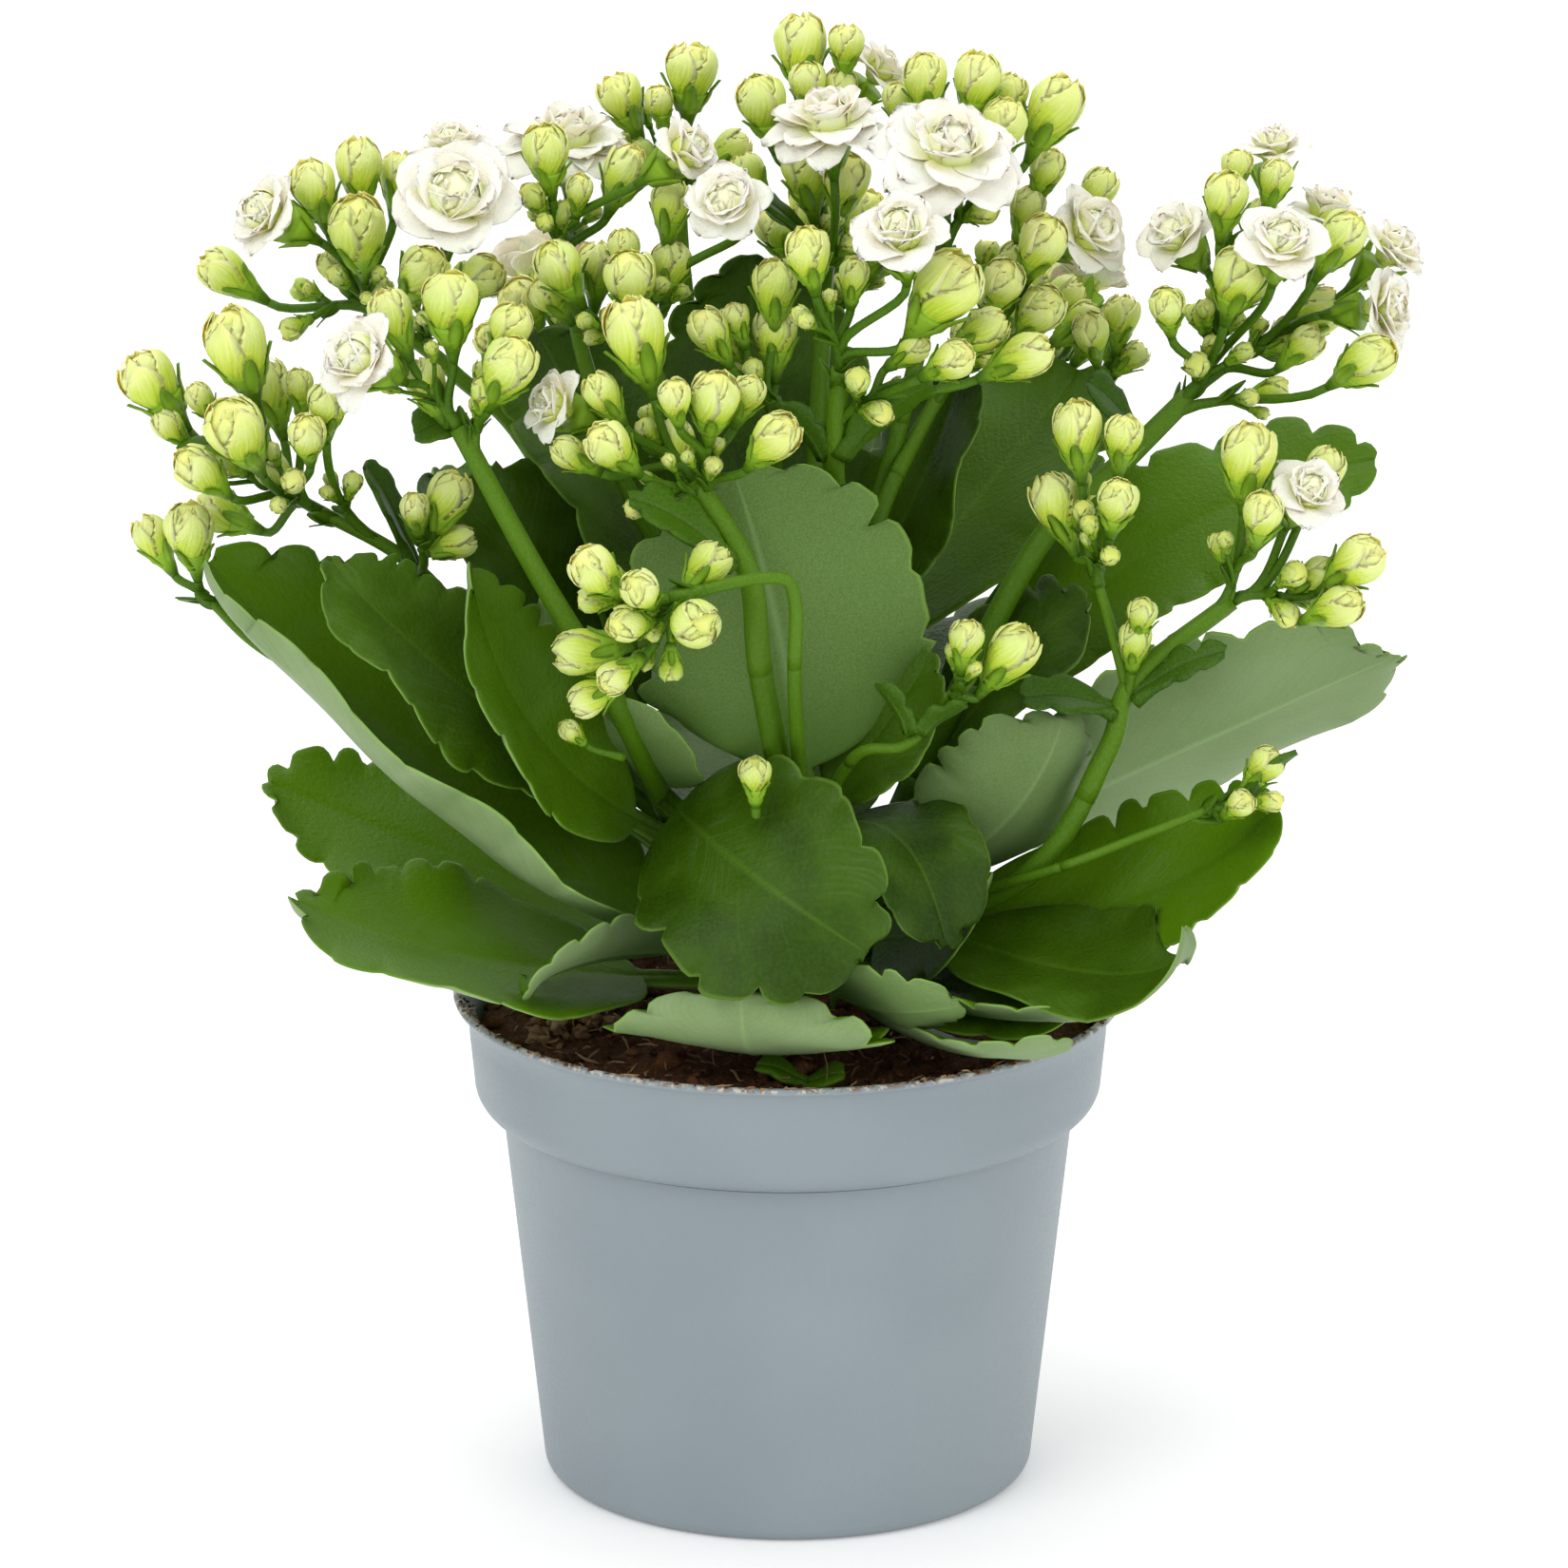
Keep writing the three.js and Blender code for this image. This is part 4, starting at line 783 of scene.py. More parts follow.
# Each spray is where it grows, the share of its stalk that belongs to the stem, its stalk's radius
# and path, its buds (right, up, half width) and its blooms (place, way they face, width, open or
# not). Paths and places are right, up and depth.
sprays = {
    "left_outer": {
        "grows": ("stem", "left", 0.85), "join": 0.5, "radius": 1.4,
        "path": [(-40, 13, -4), (-57, 33, -5), (-72, 42, -5)],
        "buds": [(-98, 62, 4.5), (-84, 67, 4.9), (-80, 61, 3.7), (-84, 54, 4.7),
                 (-90, 48, 3.5), (-88, 42, 3.4), (-70, 58, 3.3), (-73, 53, 3)],
        "blooms": [],
    },
    "left_low": {
        "grows": ("stem", "left", 0.6), "join": 0.45, "radius": 1,
        "path": [(-58, 9, 0), (-80, 20, -2), (-90, 29, -4)],
        "buds": [(-92, 39, 4), (-98, 38, 3)],
        "blooms": [],
    },
    "left_sprig": {
        "grows": ("spray", "left_outer", 0.66), "join": 0, "radius": 0.9,
        "path": [(-56, 34, -9), (-56, 37, -12)],
        "buds": [(-52, 44, 3.6), (-57, 42, 2.4), (-51, 37, 2.7)],
        "blooms": [],
    },
    "left_upper": {
        "grows": ("stem", "left", 0.97), "join": 0.4, "radius": 1.5,
        "path": [(-38, 48, 14), (-52, 64, 14), (-64, 73, 10)],
        "buds": [(-87, 79, 3.6), (-73, 92, 3.7), (-66, 95, 3.7), (-66, 85, 4.6),
                 (-56, 79, 3.9), (-60, 94, 3.2), (-47, 78, 3.5)],
        "blooms": [((-79, 87, 2), (-0.7, -0.4, 0.5), 15, False),
                   ((-51, 89, -2), (0.1, -0.75, 0.65), 21, False),
                   ((-52, 98, 14), (-0.1, -0.1, 1), 13, False)],
    },
    "left_front": {
        "grows": ("stem", "left", 0.9), "join": 0.42, "radius": 2,
        "path": [(-26, 12, -27), (-38, 32, -28), (-50, 54, -21)],
        "buds": [(-60, 71, 3.4), (-51, 73, 4.4), (-55, 61, 3.2), (-42, 69, 3.4), (-42, 63, 4.2)],
        "blooms": [((-64, 64, -26), (-0.6, -0.6, 0.5), 16, False)],
    },
    "top_left": {
        "grows": ("stem", "centre", 0.8), "join": 0.5, "radius": 1.5,
        "path": [(-22, 40, 6), (-31, 64, 6), (-34, 80, 8)],
        "buds": [(-37, 97, 3.8), (-32, 91, 2.2), (-25, 94, 3.5)],
        "blooms": [((-34, 101, 8), (0, -0.15, 1), 22, True),
                   ((-16, 96, -2), (0.8, -0.3, 0.6), 13, False)],
    },
    "top_left_back": {
        "grows": ("stem", "centre", 0.9), "join": 0.5, "radius": 1.4,
        "path": [(-12, 50, 18), (-16, 78, 25), (-17, 94, 28)],
        "buds": [(-26, 107, 3.6), (-15, 111, 4.2), (-9, 99, 2.9)],
        "blooms": [],
    },
    "middle_left": {
        "grows": ("stem", "front", 0.8), "join": 0.35, "radius": 2.1,
        "path": [(-4, 16, -31), (-6, 32, -30), (-14, 46, -26)],
        "buds": [(-27, 51, 3.6), (-17, 58, 2.6), (-17, 52, 3.1), (-11, 58, 3.9),
                 (-2, 52, 3.6), (-23, 68, 4.7)],
        "blooms": [((-35, 57, -24), (-0.8, -0.4, 0.4), 13, False)],
    },
    "inner_left": {
        "grows": ("stem", "centre", 0.95), "join": 0.5, "radius": 1.4,
        "path": [(-10, 40, 0), (-16, 54, -1), (-21, 65, -2)],
        "buds": [(-35, 79, 3.7), (-24, 77, 4.1), (-18, 80, 3.3), (-18, 89, 3.2)],
        "blooms": [((-9, 88, -10), (-0.2, -0.8, 0.6), 15, False)],
    },
    "crown_left": {
        "grows": ("stem", "centre", 0.85), "join": 0.5, "radius": 1.4,
        "path": [(-2, 36, -4), (-2, 48, -8), (-2, 59, -11)],
        "buds": [(-12, 69, 3.2), (-2, 76, 3.5), (-2, 69, 3.5)],
        "blooms": [],
    },
    "crown": {
        "grows": ("stem", "centre", 0.97), "join": 0.5, "radius": 1.7,
        "path": [(4, 45, 10), (5, 64, 14), (6, 80, 17)],
        "buds": [(2, 114, 4.2), (-4, 105, 4), (-6, 95, 2.8), (3, 95, 4.1), (9, 93, 3.8), (5, 88, 3.7)],
        "blooms": [((6, 102, 4), (-0.1, -0.2, 1), 21, True),
                   ((14, 110, 20), (0.7, -0.1, 0.8), 12, False)],
    },
    "crown_right": {
        "grows": ("stem", "centre", 0.9), "join": 0.5, "radius": 1.5,
        "path": [(14, 44, 8), (20, 66, 10), (24, 82, 10)],
        "buds": [(21, 108, 3.5), (29, 108, 3.8), (34, 106, 3), (33, 101, 3.7), (41, 104, 4.3)],
        "blooms": [((25, 97, -4), (0.15, -0.55, 0.85), 24, True)],
    },
    "front_right": {
        "grows": ("stem", "centre", 0.75), "join": 0.45, "radius": 2,
        "path": [(7, 34, -6), (7, 50, -12), (8, 63, -17)],
        "buds": [(3, 80, 3.5), (24, 75, 5.2), (30, 69, 3.3), (25, 64, 3.1), (36, 65, 3.6)],
        "blooms": [((17, 82, -26), (-0.1, -0.55, 0.9), 16, False)],
    },
    "middle_right": {
        "grows": ("stem", "centre", 0.7), "join": 0.5, "radius": 1.5,
        "path": [(13, 38, 2), (20, 54, 10), (27, 66, 15)],
        "buds": [(33, 77, 3.4), (39, 73, 3.7), (43, 76, 3), (39, 83, 3.9), (48, 92, 2.9), (46, 72, 3.1)],
        "blooms": [((46, 85, 6), (0.7, -0.5, 0.5), 16, False)],
    },
    "right_outer": {
        "grows": ("stem", "right", 0.95), "join": 0.4, "radius": 2.1,
        "path": [(38, 36, 0), (52, 50, 4), (62, 60, 8)],
        "buds": [(69, 95, 2.6), (67, 90, 3.6), (73, 87, 3), (69, 78, 4.2),
                 (85, 84, 3.7), (82, 73, 3.9), (89, 65, 3.9), (58, 73, 2.9)],
        "blooms": [((75, 98, 18), (0, -0.1, 1), 12, False),
                   ((60, 84, 2), (-0.5, -0.5, 0.7), 14, False),
                   ((75, 82, -8), (0.1, -0.6, 0.8), 15, False),
                   ((83, 88, 14), (0.2, 0, 1), 13, False),
                   ((93, 82, 8), (0.7, -0.2, 0.7), 13, False),
                   ((91, 73, 0), (0.9, -0.4, 0.2), 15, False)],
    },
    "right_back": {
        "grows": ("spray", "right_outer", 0.75), "join": 0, "radius": 1,
        "path": [(51, 56, 14), (50, 62, 20)],
        "buds": [(52, 73, 3), (47, 70, 3)],
        "blooms": [],
    },
    "right_front": {
        "grows": ("stem", "right", 0.45), "join": 0.4, "radius": 1.9,
        "path": [(37, -14, -20), (49, 5, -20), (53, 16, -19), (68, 28, -16)],
        "buds": [(70, 50, 4.4), (72, 41, 3.2), (82, 48, 3.2), (87, 34, 3.9), (84, 27, 3.3)],
        "blooms": [((79, 44, -18), (0.3, -0.6, 0.7), 13, False)],
    },
    "right_fork": {
        "grows": ("spray", "right_front", 0.72), "join": 0, "radius": 1,
        "path": [(50, 22, -19), (47, 32, -18)],
        "buds": [(44, 54, 3.9), (51, 53, 3.1), (41, 43, 3.9), (50, 43, 3.3)],
        "blooms": [],
    },
    "right_low": {
        "grows": ("stem", "right", 0.55), "join": 0.4, "radius": 0.9,
        "path": [(38, -14, -24), (54, -8, -27), (64, -4, -27)],
        "buds": [(73, 3, 2.8), (69, -3, 2.2)],
        "blooms": [],
    },
    "front_hook": {
        "grows": ("stem", "front", 0.9), "join": 0.3, "radius": 1.2,
        "path": [(1, 14, -36), (1, 28, -40), (-3, 31, -42), (-18, 28, -43)],
        "buds": [(-29, 32, 3.6), (-22, 29, 3), (-12, 33, 3.2), (-14, 24, 3.8),
                 (-24, 24, 2.9), (-31, 20, 3.7), (-26, 16, 2.7), (-30, 13, 2.9)],
        "blooms": [],
    },
    "front_twig": {
        "grows": ("stem", "front", 0.93), "join": 0.3, "radius": 1,
        "path": [(10, 4, -28), (18, 6, -30), (25, 13, -31)],
        "buds": [(27, 22, 2.8), (34, 20, 3.9)],
        "blooms": [],
    },
    "back_left": {
        "grows": ("stem", "back", 0.9), "join": 0.4, "radius": 1.5,
        "path": [(-20, 45, 36), (-32, 66, 42)],
        "buds": [(-42, 76, 3.6), (-36, 80, 4), (-30, 82, 3.4), (-46, 70, 3.4)],
        "blooms": [((-40, 82, 52), (-0.3, 0.6, 0.8), 18, False)],
    },
    "back_middle": {
        "grows": ("stem", "back", 0.95), "join": 0.4, "radius": 1.5,
        "path": [(2, 50, 40), (6, 76, 44)],
        "buds": [(-2, 88, 3.6), (4, 92, 4), (12, 90, 3.5), (16, 84, 3.2)],
        "blooms": [((8, 90, 56), (0.1, 0.6, 0.8), 22, True)],
    },
    "back_right": {
        "grows": ("stem", "back", 0.85), "join": 0.4, "radius": 1.5,
        "path": [(24, 44, 46), (38, 64, 52)],
        "buds": [(34, 76, 3.6), (40, 80, 4), (46, 78, 3.4), (50, 72, 3.4)],
        "blooms": [((48, 80, 50), (0.3, 0.6, 0.8), 14, False)],
    },
}

# The least buds, which fit in among the others: right, up and half width
smallBuds = {
    "left_outer": ((-79, 48, 2.8), (-75, 61, 2.5), (-90, 59, 2.2), (-95, 55, 2.4)),
    "top_left_back": ((-20, 106, 2.4),),
    "middle_left": ((-33, 50, 2.6), (-6, 59, 2.7), (-28, 59, 2.8)),
    "inner_left": ((-37, 75, 2.8), (-25, 82, 2.6)),
    "crown_left": ((-8, 71, 2.3),),
    "crown": ((9, 114, 2.9), (3, 108, 3), (8, 107, 2.8)),
    "crown_right": ((17, 105, 2.6),),
    "right_outer": ((75, 93, 2.7), (80, 68, 2.8)),
    "right_front": ((81, 32, 2.8),),
    "middle_right": ((35, 81, 2.9), (37, 89, 2.9), (40, 95, 2.9)),
    "left_upper": ((-63, 76, 2.2), (-70, 80, 2.6)),
    "front_right": ((10, 77, 2.4), (19, 66, 2.4)),
}

# Small leafy bracts: spray, tip, foot, width and roll
bracts = (
    ("left_outer", (-65, 49, -8), (-58, 34, -6), 8, 30),
    ("left_outer", (-66, 31, -8), (-55, 23, -6), 6, -20),
    ("left_outer", (-94, 51, -10), (-80, 50, -7), 5, 10),
    ("left_upper", (-57, 53, -18), (-49, 55, -16), 7, 30),
    ("middle_left", (-24, 43, -34), (-8, 33, -31), 8, 40),
    ("front_right", (22, 61, -20), (8, 50, -13), 8, 40),
    ("front_right", (-2, 58, -16), (6, 50, -12), 6, -30),
    ("front_twig", (27, 12, -34), (20, 8, -31), 4, 30),
    ("front_twig", (14, 15, -32), (19, 8, -31), 4, -30),
    ("right_front", (36, 13, -24), (50, 11, -20), 8, 30),
    ("right_front", (67, 20, -23), (53, 13, -20), 5, -40),
    ("right_outer", (46, 62, 3), (53, 55, 4), 8, 30),
    ("crown", (-8, 92, 12), (5, 82, 16), 7, 20),
    ("right_low", (78, 5, -28), (70, -2, -27), 4, 20),
    ("front_twig", (-5, -43, -39), (3, -46.5, -37), 5, 20),
    ("front_twig", (9, -44.5, -39), (3, -46.5, -37), 5, -20),
)

# Buds that grow by themselves: spray, bud, foot and half width
loneBuds = (
    ("middle_left", (-5, 1.5, -42), (-4.8, -5, -40.5), 2.6),
    ("middle_left", (-33, 8, -36), (-25, 4, -32), 1.7),
    ("right_front", (53, 22, -22), (52, 13, -20), 2.6),
    ("right_front", (54, 26, -24), (52, 15, -20), 2.4),
)


def bladeHalf(t, width):
    out = max(0.0, (t - leafForm["petiole"]) / (1 - leafForm["petiole"]))
    blade = 0.99 * width * math.sqrt(out) * math.sqrt(max(0.0, 1 - out))
    return math.hypot(leafForm["petioleHalf"] * (1 - out), blade)


# Places down a blade, evenly spaced along its margin: the share of its length and the way run
def marginOf(length, width, rows):
    fine = [k / 400 for k in range(401)]
    run = [0.0]
    for a, b in zip(fine, fine[1:]):
        run.append(run[-1] + math.hypot((b - a) * length, bladeHalf(b, width) - bladeHalf(a, width)))
    spots, k = [], 0
    for row in range(rows):
        goal = run[-1] * row / rows
        while run[k + 1] < goal:
            k += 1
        spots.append((mix(fine[k], fine[k + 1], (goal - run[k]) / (run[k + 1] - run[k])), goal))
    return spots


# Once round a thin sheet: over its upper side from edge to edge, then back along its lower side
def roundSheet(cells):
    return [(v, 1) for v in cells] + [(v, -1) for v in reversed(cells[1:-1])]


def sheetUv(cells):
    return [(v + 1) / 2 for v, _ in roundSheet(cells)] + [0]


# A leaf blade: an arched rib with two halves that curl, ripple and end in rounded teeth
def addLeaf(shape, root, leaf, rng, upper=0, under=1):
    form = leafForm
    _, _, mid, tip, width, rollTurn, curls = leaf
    order = leaves.index(leaf) if leaf in leaves else None
    mid, tip = Vector(mid), Vector(tip)
    bend = mid * 2 - root * 0.5 - tip * 0.5
    level = Vector((tip.x - root.x, tip.y - root.y, 0)).normalized().cross(Vector((0, 0, 1)))
    roll = math.radians(rollTurn)
    length = (mid - root).length + (tip - mid).length
    lobes = 3 if width < 34 else 4
    grown = min(1.0, width / form["grown"])
    pitch = form["pitch"] * mix(0.62, 1.0, grown) * rng.uniform(0.9, 1.12)
    depth = form["tooth"] * mix(0.55, 1.0, grown) * form["toothOf"].get(order, 1.0)
    shift = Vector((rng.uniform(-90, 90), rng.uniform(-90, 90), 0))
    uneven = [[rng.uniform(*form["uneven"]) for _ in range(form["teeth"])] for _ in range(2)]
    slip = (rng.uniform(0, 1), rng.uniform(0, 1))
    ripple = (rng.uniform(0, 6.28), rng.uniform(0, 6.28))
    half = [-v for v in reversed(form["half"][1:])] + list(form["half"])
    rings, along = [], []
    for t, run in marginOf(length, width, int(length * form["rows"])):
        way = ((bend - root) * 2 * (1 - t) + (tip - bend) * 2 * t).normalized()
        centre = root * (1 - t) ** 2 + bend * 2 * t * (1 - t) + tip * t ** 2
        flat = (level - way * level.dot(way)).normalized()
        normal = flat.cross(way)
        side = flat * math.cos(roll) + normal * math.sin(roll)
        up = normal * math.cos(roll) - flat * math.sin(roll)
        full = bladeHalf(t, width)
        slope = (bladeHalf(min(1.0, t + 0.002), width) - bladeHalf(t - 0.002, width)) / (0.004 * length)
        outward = 1 / math.hypot(1, slope)
        forward = -slope * outward if slope < 0 else 0.0
        deep = smooth(0.3, 0.42, t)
        fade = min(1.0, full / form["fade"])
        outer = smooth(0.15, 0.5, t) * min(1.0, width / 36) * fade
        thick = mix(form["petioleThick"], form["thick"], smooth(0.0, 0.3, t))
        thick *= mix(1, 0.7, smooth(0.6, 1.0, t))
        lobed = 1 - form["coarse"] * deep * math.cos(fullTurn * t ** 1.1 * lobes)
        teeth = []
        for which in (0, 1):
            q = run / pitch + slip[which]
            q += 0.35 * noise.noise(Vector((run * 0.11, slip[which] * 9, 2))) + 0.09 * math.sin(fullTurn * q)
            cut = 1 - abs(math.sin(math.pi * q)) ** 0.62
            tooth = depth * uneven[which][int(q)] * deep * (0.4 - 1.2 * cut)
            teeth.append((max(tooth, -0.6 * full), cut))
        ring = []
        for v, face in roundSheet(half):
            which = 0 if v < 0 else 1
            tooth, cut = teeth[which]
            reach = full * lobed + tooth * outward * abs(v) ** 3
            lift = 0.5 * face * thick * math.sqrt(max(0.0, 1 - abs(v) ** 7))
            if abs(v) < 0.06:  # the midrib: a groove above, a ridge below
                lift -= (form["groove"] if face > 0 else form["ridge"] * (1 - t)) * (1 if v == 0 else 0.35)
            lift += form["wave"] * math.sin(run / form["waveRun"] + ripple[which]) * abs(v) ** 2.2 * outer
            billow = noise.noise(shift + Vector((t * 4.2, v * 1.6, 0)))
            lift += form["swell"] * billow * outer * min(1, abs(v) * 3)
            lift -= form["ruffle"] * cut * deep * abs(v) ** 5 * fade
            curl = math.radians(curls[which])
            lean = curl * v
            over = reach / curl * math.sin(lean) - lift * math.sin(lean)
            rise = reach / curl * (1 - math.cos(lean)) + lift * math.cos(lean)
            ring.append(centre + side * over + up * rise + way * tooth * forward * abs(v) ** 3)
        rings.append(ring)
        along.append(t)
    tops = len(half) - 1
    tone = rng.uniform(0.0, 0.45) + (0.3 if tip.z < 104 else 0)  # the low leaves are fresher
    addRings(shape, rings, lambda k: upper if k < tops else under, form["tones"].get(order, tone), along,
             sheetUv(half))


def stemPoints(name):
    return [Vector(p) for p in stems[name]]


def pathOf(name):
    spray = sprays[name]
    kind, host, share = spray["grows"]
    start = curveAt(pathOf(host) if kind == "spray" else stemPoints(host), share)
    return [start] + [seen(*p) for p in spray["path"]]


# The stretch of a spray's stalk from one share of its length to another
def addStalk(shape, name, low, high, steps, skin, tone, full=1.0):
    path, radius = pathOf(name), sprays[name]["radius"]
    stations = [mix(low, high, i / steps) for i in range(steps + 1)]
    radii = [radius * (1 - 0.25 * t) * full for t in stations]
    addTube(shape, [curveAt(path, t) for t in stations], radii, 12, skin, tone,
            [curveWay(path, t) for t in stations])


def titleOf(name):
    return "".join(word.capitalize() for word in name.split("_"))


def makeLeafyStem(name):
    rng = random.Random(leafForm["seed"] + len(name) * 7)
    look, points = stemLook, stemPoints(name)
    shape = newShape()
    stations = [i / look["steps"] for i in range(look["steps"] + 1)]
    radii = [mix(look["footRadius"], look["topRadius"], t)
             * (1 + look["knuckle"] * math.cos(t * fullTurn * look["nodes"]) ** 4) for t in stations]
    addTube(shape, [curveAt(points, t) for t in stations], radii, look["sides"], 2, 0.3,
            [curveWay(points, t) for t in stations])
    for leaf in leaves:
        if leaf[0] == name:
            addLeaf(shape, curveAt(points, leaf[1]), leaf, rng)
    for label, spray in sprays.items():
        if spray["grows"][:2] == ("stem", name):
            addStalk(shape, label, 0, spray["join"] + 1.5 / curveLength(pathOf(label)), 10, 2, 0.65, 0.97)
    finishShape(shape, "leafyStem" + titleOf(name), [leafUpper, leafUnder, stalkGreen],
                ["leafy_stem_" + name])
    print("leafy stem", name, len(shape["faces"]), "faces")


for stemName in stems:
    makeLeafyStem(stemName)

# Where the buds and blooms stand: heads that would touch are pushed apart in depth
headForm = {"dome": 0.6, "gap": 0.6, "rounds": 80, "push": 0.3, "smallGap": 0.3, "smallRounds": 60,
            "smallPush": 0.4}


def newHead(spray, size, at, depth, bloom=None, small=False):
    return {"spray": spray, "size": size, "at": at, "depth": depth, "bloom": bloom, "small": small}


# How much more depth two heads need between them, if any, so that they stand apart by the gap
def lackOf(one, other, gap):
    flat = math.hypot(one["at"][0] - other["at"][0], one["at"][1] - other["at"][1])
    need = one["size"] + other["size"] + gap
    return math.sqrt(need ** 2 - flat ** 2) - abs(other["depth"] - one["depth"]) if flat < need else 0


def placeHeads():
    form, placed = headForm, []
    for name, spray in sprays.items():
        right, up, depth = spray["path"][-1]
        reach = max(math.hypot(b[0] - right, b[1] - up) for b in spray["buds"])
        for i, (a, b, size) in enumerate(spray["buds"]):
            bulge = math.sqrt(max(0.0, 1 - (math.hypot(a - right, b - up) / reach) ** 2))
            out = (0.35 if i % 3 == 2 else -0.75) * reach * bulge * form["dome"]
            placed.append(newHead(name, size, (a, b), depth + out))
        for spot, face, span, full in spray["blooms"]:
            bloom = {"face": Vector(face).normalized(), "span": span, "open": full}
            placed.append(newHead(name, span * (0.5 if full else 0.44), spot[:2], spot[2], bloom))
    for _ in range(form["rounds"]):
        for i, one in enumerate(placed):
            for other in placed[i + 1:]:
                lack = lackOf(one, other, form["gap"])
                if lack > 0:
                    push = form["push"] * (-lack if other["depth"] - one["depth"] < 0 else lack)
                    one["depth"] -= push
                    other["depth"] += push
    for name, extras in smallBuds.items():
        for a, b, size in extras:
            small = newHead(name, size, (a, b), sprays[name]["path"][-1][2] - 2, small=True)
            for _ in range(form["smallRounds"]):
                for other in placed:
                    if lackOf(small, other, form["smallGap"]) > 0:
                        nearer = small["depth"] - other["depth"] > 0
                        small["depth"] += form["smallPush"] if nearer else -form["smallPush"]
            placed.append(small)
    for head in placed:
        head["place"] = seen(*head["at"], head["depth"])
    return placed


# Which way a head faces, where it sits, and the neck where its branch ends
def seatOf(fork, head):
    bloom = head["bloom"]
    toward = (head["place"] - fork).normalized() + Vector((0, -0.1, 0.45))
    face = bloom["face"] if bloom else toward.normalized()
    seat = head["place"] - face * (bloom["span"] * 0.2 + 0.3 if bloom else 0)
    drop = 6.5 if bloom else head["size"] * branchForm["drop"]
    return face, seat, seat - face * min(drop, 0.8 * (seat - fork).length)


def frameOf(face):
    side = Vector((0, 1, 0)).cross(face)
    side = side.normalized() if side.length > 0.01 else Vector((1, 0, 0))
    return side, face.cross(side)


# Buds: a closed heart wrapped in petals that overlap, held by four pointed sepals. The profile is
# the height and radius of a bud of half width 1, and the calyx rows are the cup below it.
budForm = {
    "profile": ((-1.3, 0.34), (-1.05, 0.5), (-0.75, 0.68), (-0.45, 0.82), (-0.15, 0.92), (0.15, 0.96),
                (0.42, 0.94), (0.66, 0.84), (0.84, 0.7), (0.97, 0.55), (1.06, 0.42), (1.12, 0.3)),
    "core": ((0.9, 0.52), (0.97, 0.16)), "foot": -1.3, "tall": 2.5, "petals": 4, "twist": 0.42,
    "inner": ((5, 0.9, 1.07), (3, 0.66, 1.06)), "seed": 21,
    "calyx": ((-1.45, 0.46), (-1.2, 0.58), (-0.98, 0.68), (-0.84, 0.72), (-0.8, 0.4)),
}
sepalForm = {"thick": 0.34, "rows": 7, "perBud": 4}


def budRadius(s):
    rows = budForm["profile"]
    if s <= rows[0][0]:
        return rows[0][1]
    for (low, a), (high, b) in zip(rows, rows[1:]):
        if s <= high:
            return mix(a, b, (s - low) / (high - low))
    return rows[-1][1]


# One wrapped petal from the share low to the share high of the bud's height, pointed at its tip
def addWrap(shape, seat, axes, size, turn, halfTurn, low, high, swell, skin, tone, rng, rows=9, columns=7):
    face, side, over = axes
    lean, shift, flare = rng.uniform(0.012, 0.028), rng.uniform(-60, 60), rng.uniform(0.0, 0.2)
    cells = [2 * i / (columns - 1) - 1 for i in range(columns)]
    rings, along = [], []
    for row in range(rows + 1):
        v = row / (rows + 0.12)
        s = mix(low, high, v)
        shoulder = math.sqrt(max(0.0, 1 - ((v - 0.55) / 0.45) ** 2)) if v > 0.55 else 1 - 0.25 * (0.55 - v)
        narrow = mix(shoulder, (1 - v) / 0.45, 0.5) if v > 0.55 else shoulder
        ring = []
        for u, front in roundSheet(cells):
            ripple = noise.noise(Vector((u * 1.5 + shift, v * 2.4, shift)))
            radius = budRadius(s) * (swell + lean * (u + 1) / 2 + 0.12 * ripple * v ** 3 + flare * v ** 6)
            radius += (0.015 if front > 0 else -0.022) * math.sqrt(max(0.0, 1 - abs(u) ** 3))
            out = outAt(side, over, turn + u * halfTurn * narrow + budForm["twist"] * s)
            ring.append(seat + face * size * (s + 0.08 * ripple * v ** 3) + out * radius * size)
        rings.append(ring)
        along.append((s - budForm["foot"]) / budForm["tall"])
    addRings(shape, rings, skin, tone, along, sheetUv(cells))


def addBud(shape, seat, face, size, skin, tone, rng, low=budForm["foot"], rich=True):
    form = budForm
    side, over = frameOf(face)
    spin, tall = rng.uniform(0, 6.28), rng.uniform(0.92, 1.16)
    sides = 10 if rich else 8
    core = [(s, r) for s, r in form["profile"] if low <= s < 0.8] + list(form["core"])
    outs = spokes(side, over, sides)
    rings = [[seat + face * s * 0.95 * tall * size + out * r * 0.975 * size for out in outs] for s, r in core]
    along = [(s - form["foot"]) / form["tall"] for s, _ in core]
    addRings(shape, rings, skin, tone, along, [0.5] * (sides + 1))
    axes = (face * tall, side, over)
    for k in range(form["petals"]):
        turn = spin + fullTurn * k / form["petals"] + rng.uniform(-0.12, 0.12)
        addWrap(shape, seat, axes, size, turn, rng.uniform(0.92, 1.08), low, 1.02 + rng.uniform(-0.16, 0.1),
                1.0, skin, tone, rng, 9 if rich else 5, 7 if rich else 5)
    for count, close, top in form["inner"] if rich else ():  # the tips of the petals folded inside
        for k in range(count):
            turn = spin + fullTurn * (k + 0.5) / count + rng.uniform(-0.2, 0.2)
            addWrap(shape, seat, axes, size, turn, 2.9 / count, 0.3, top + rng.uniform(-0.08, 0.08), close,
                    skin, tone, rng, 4, 5)


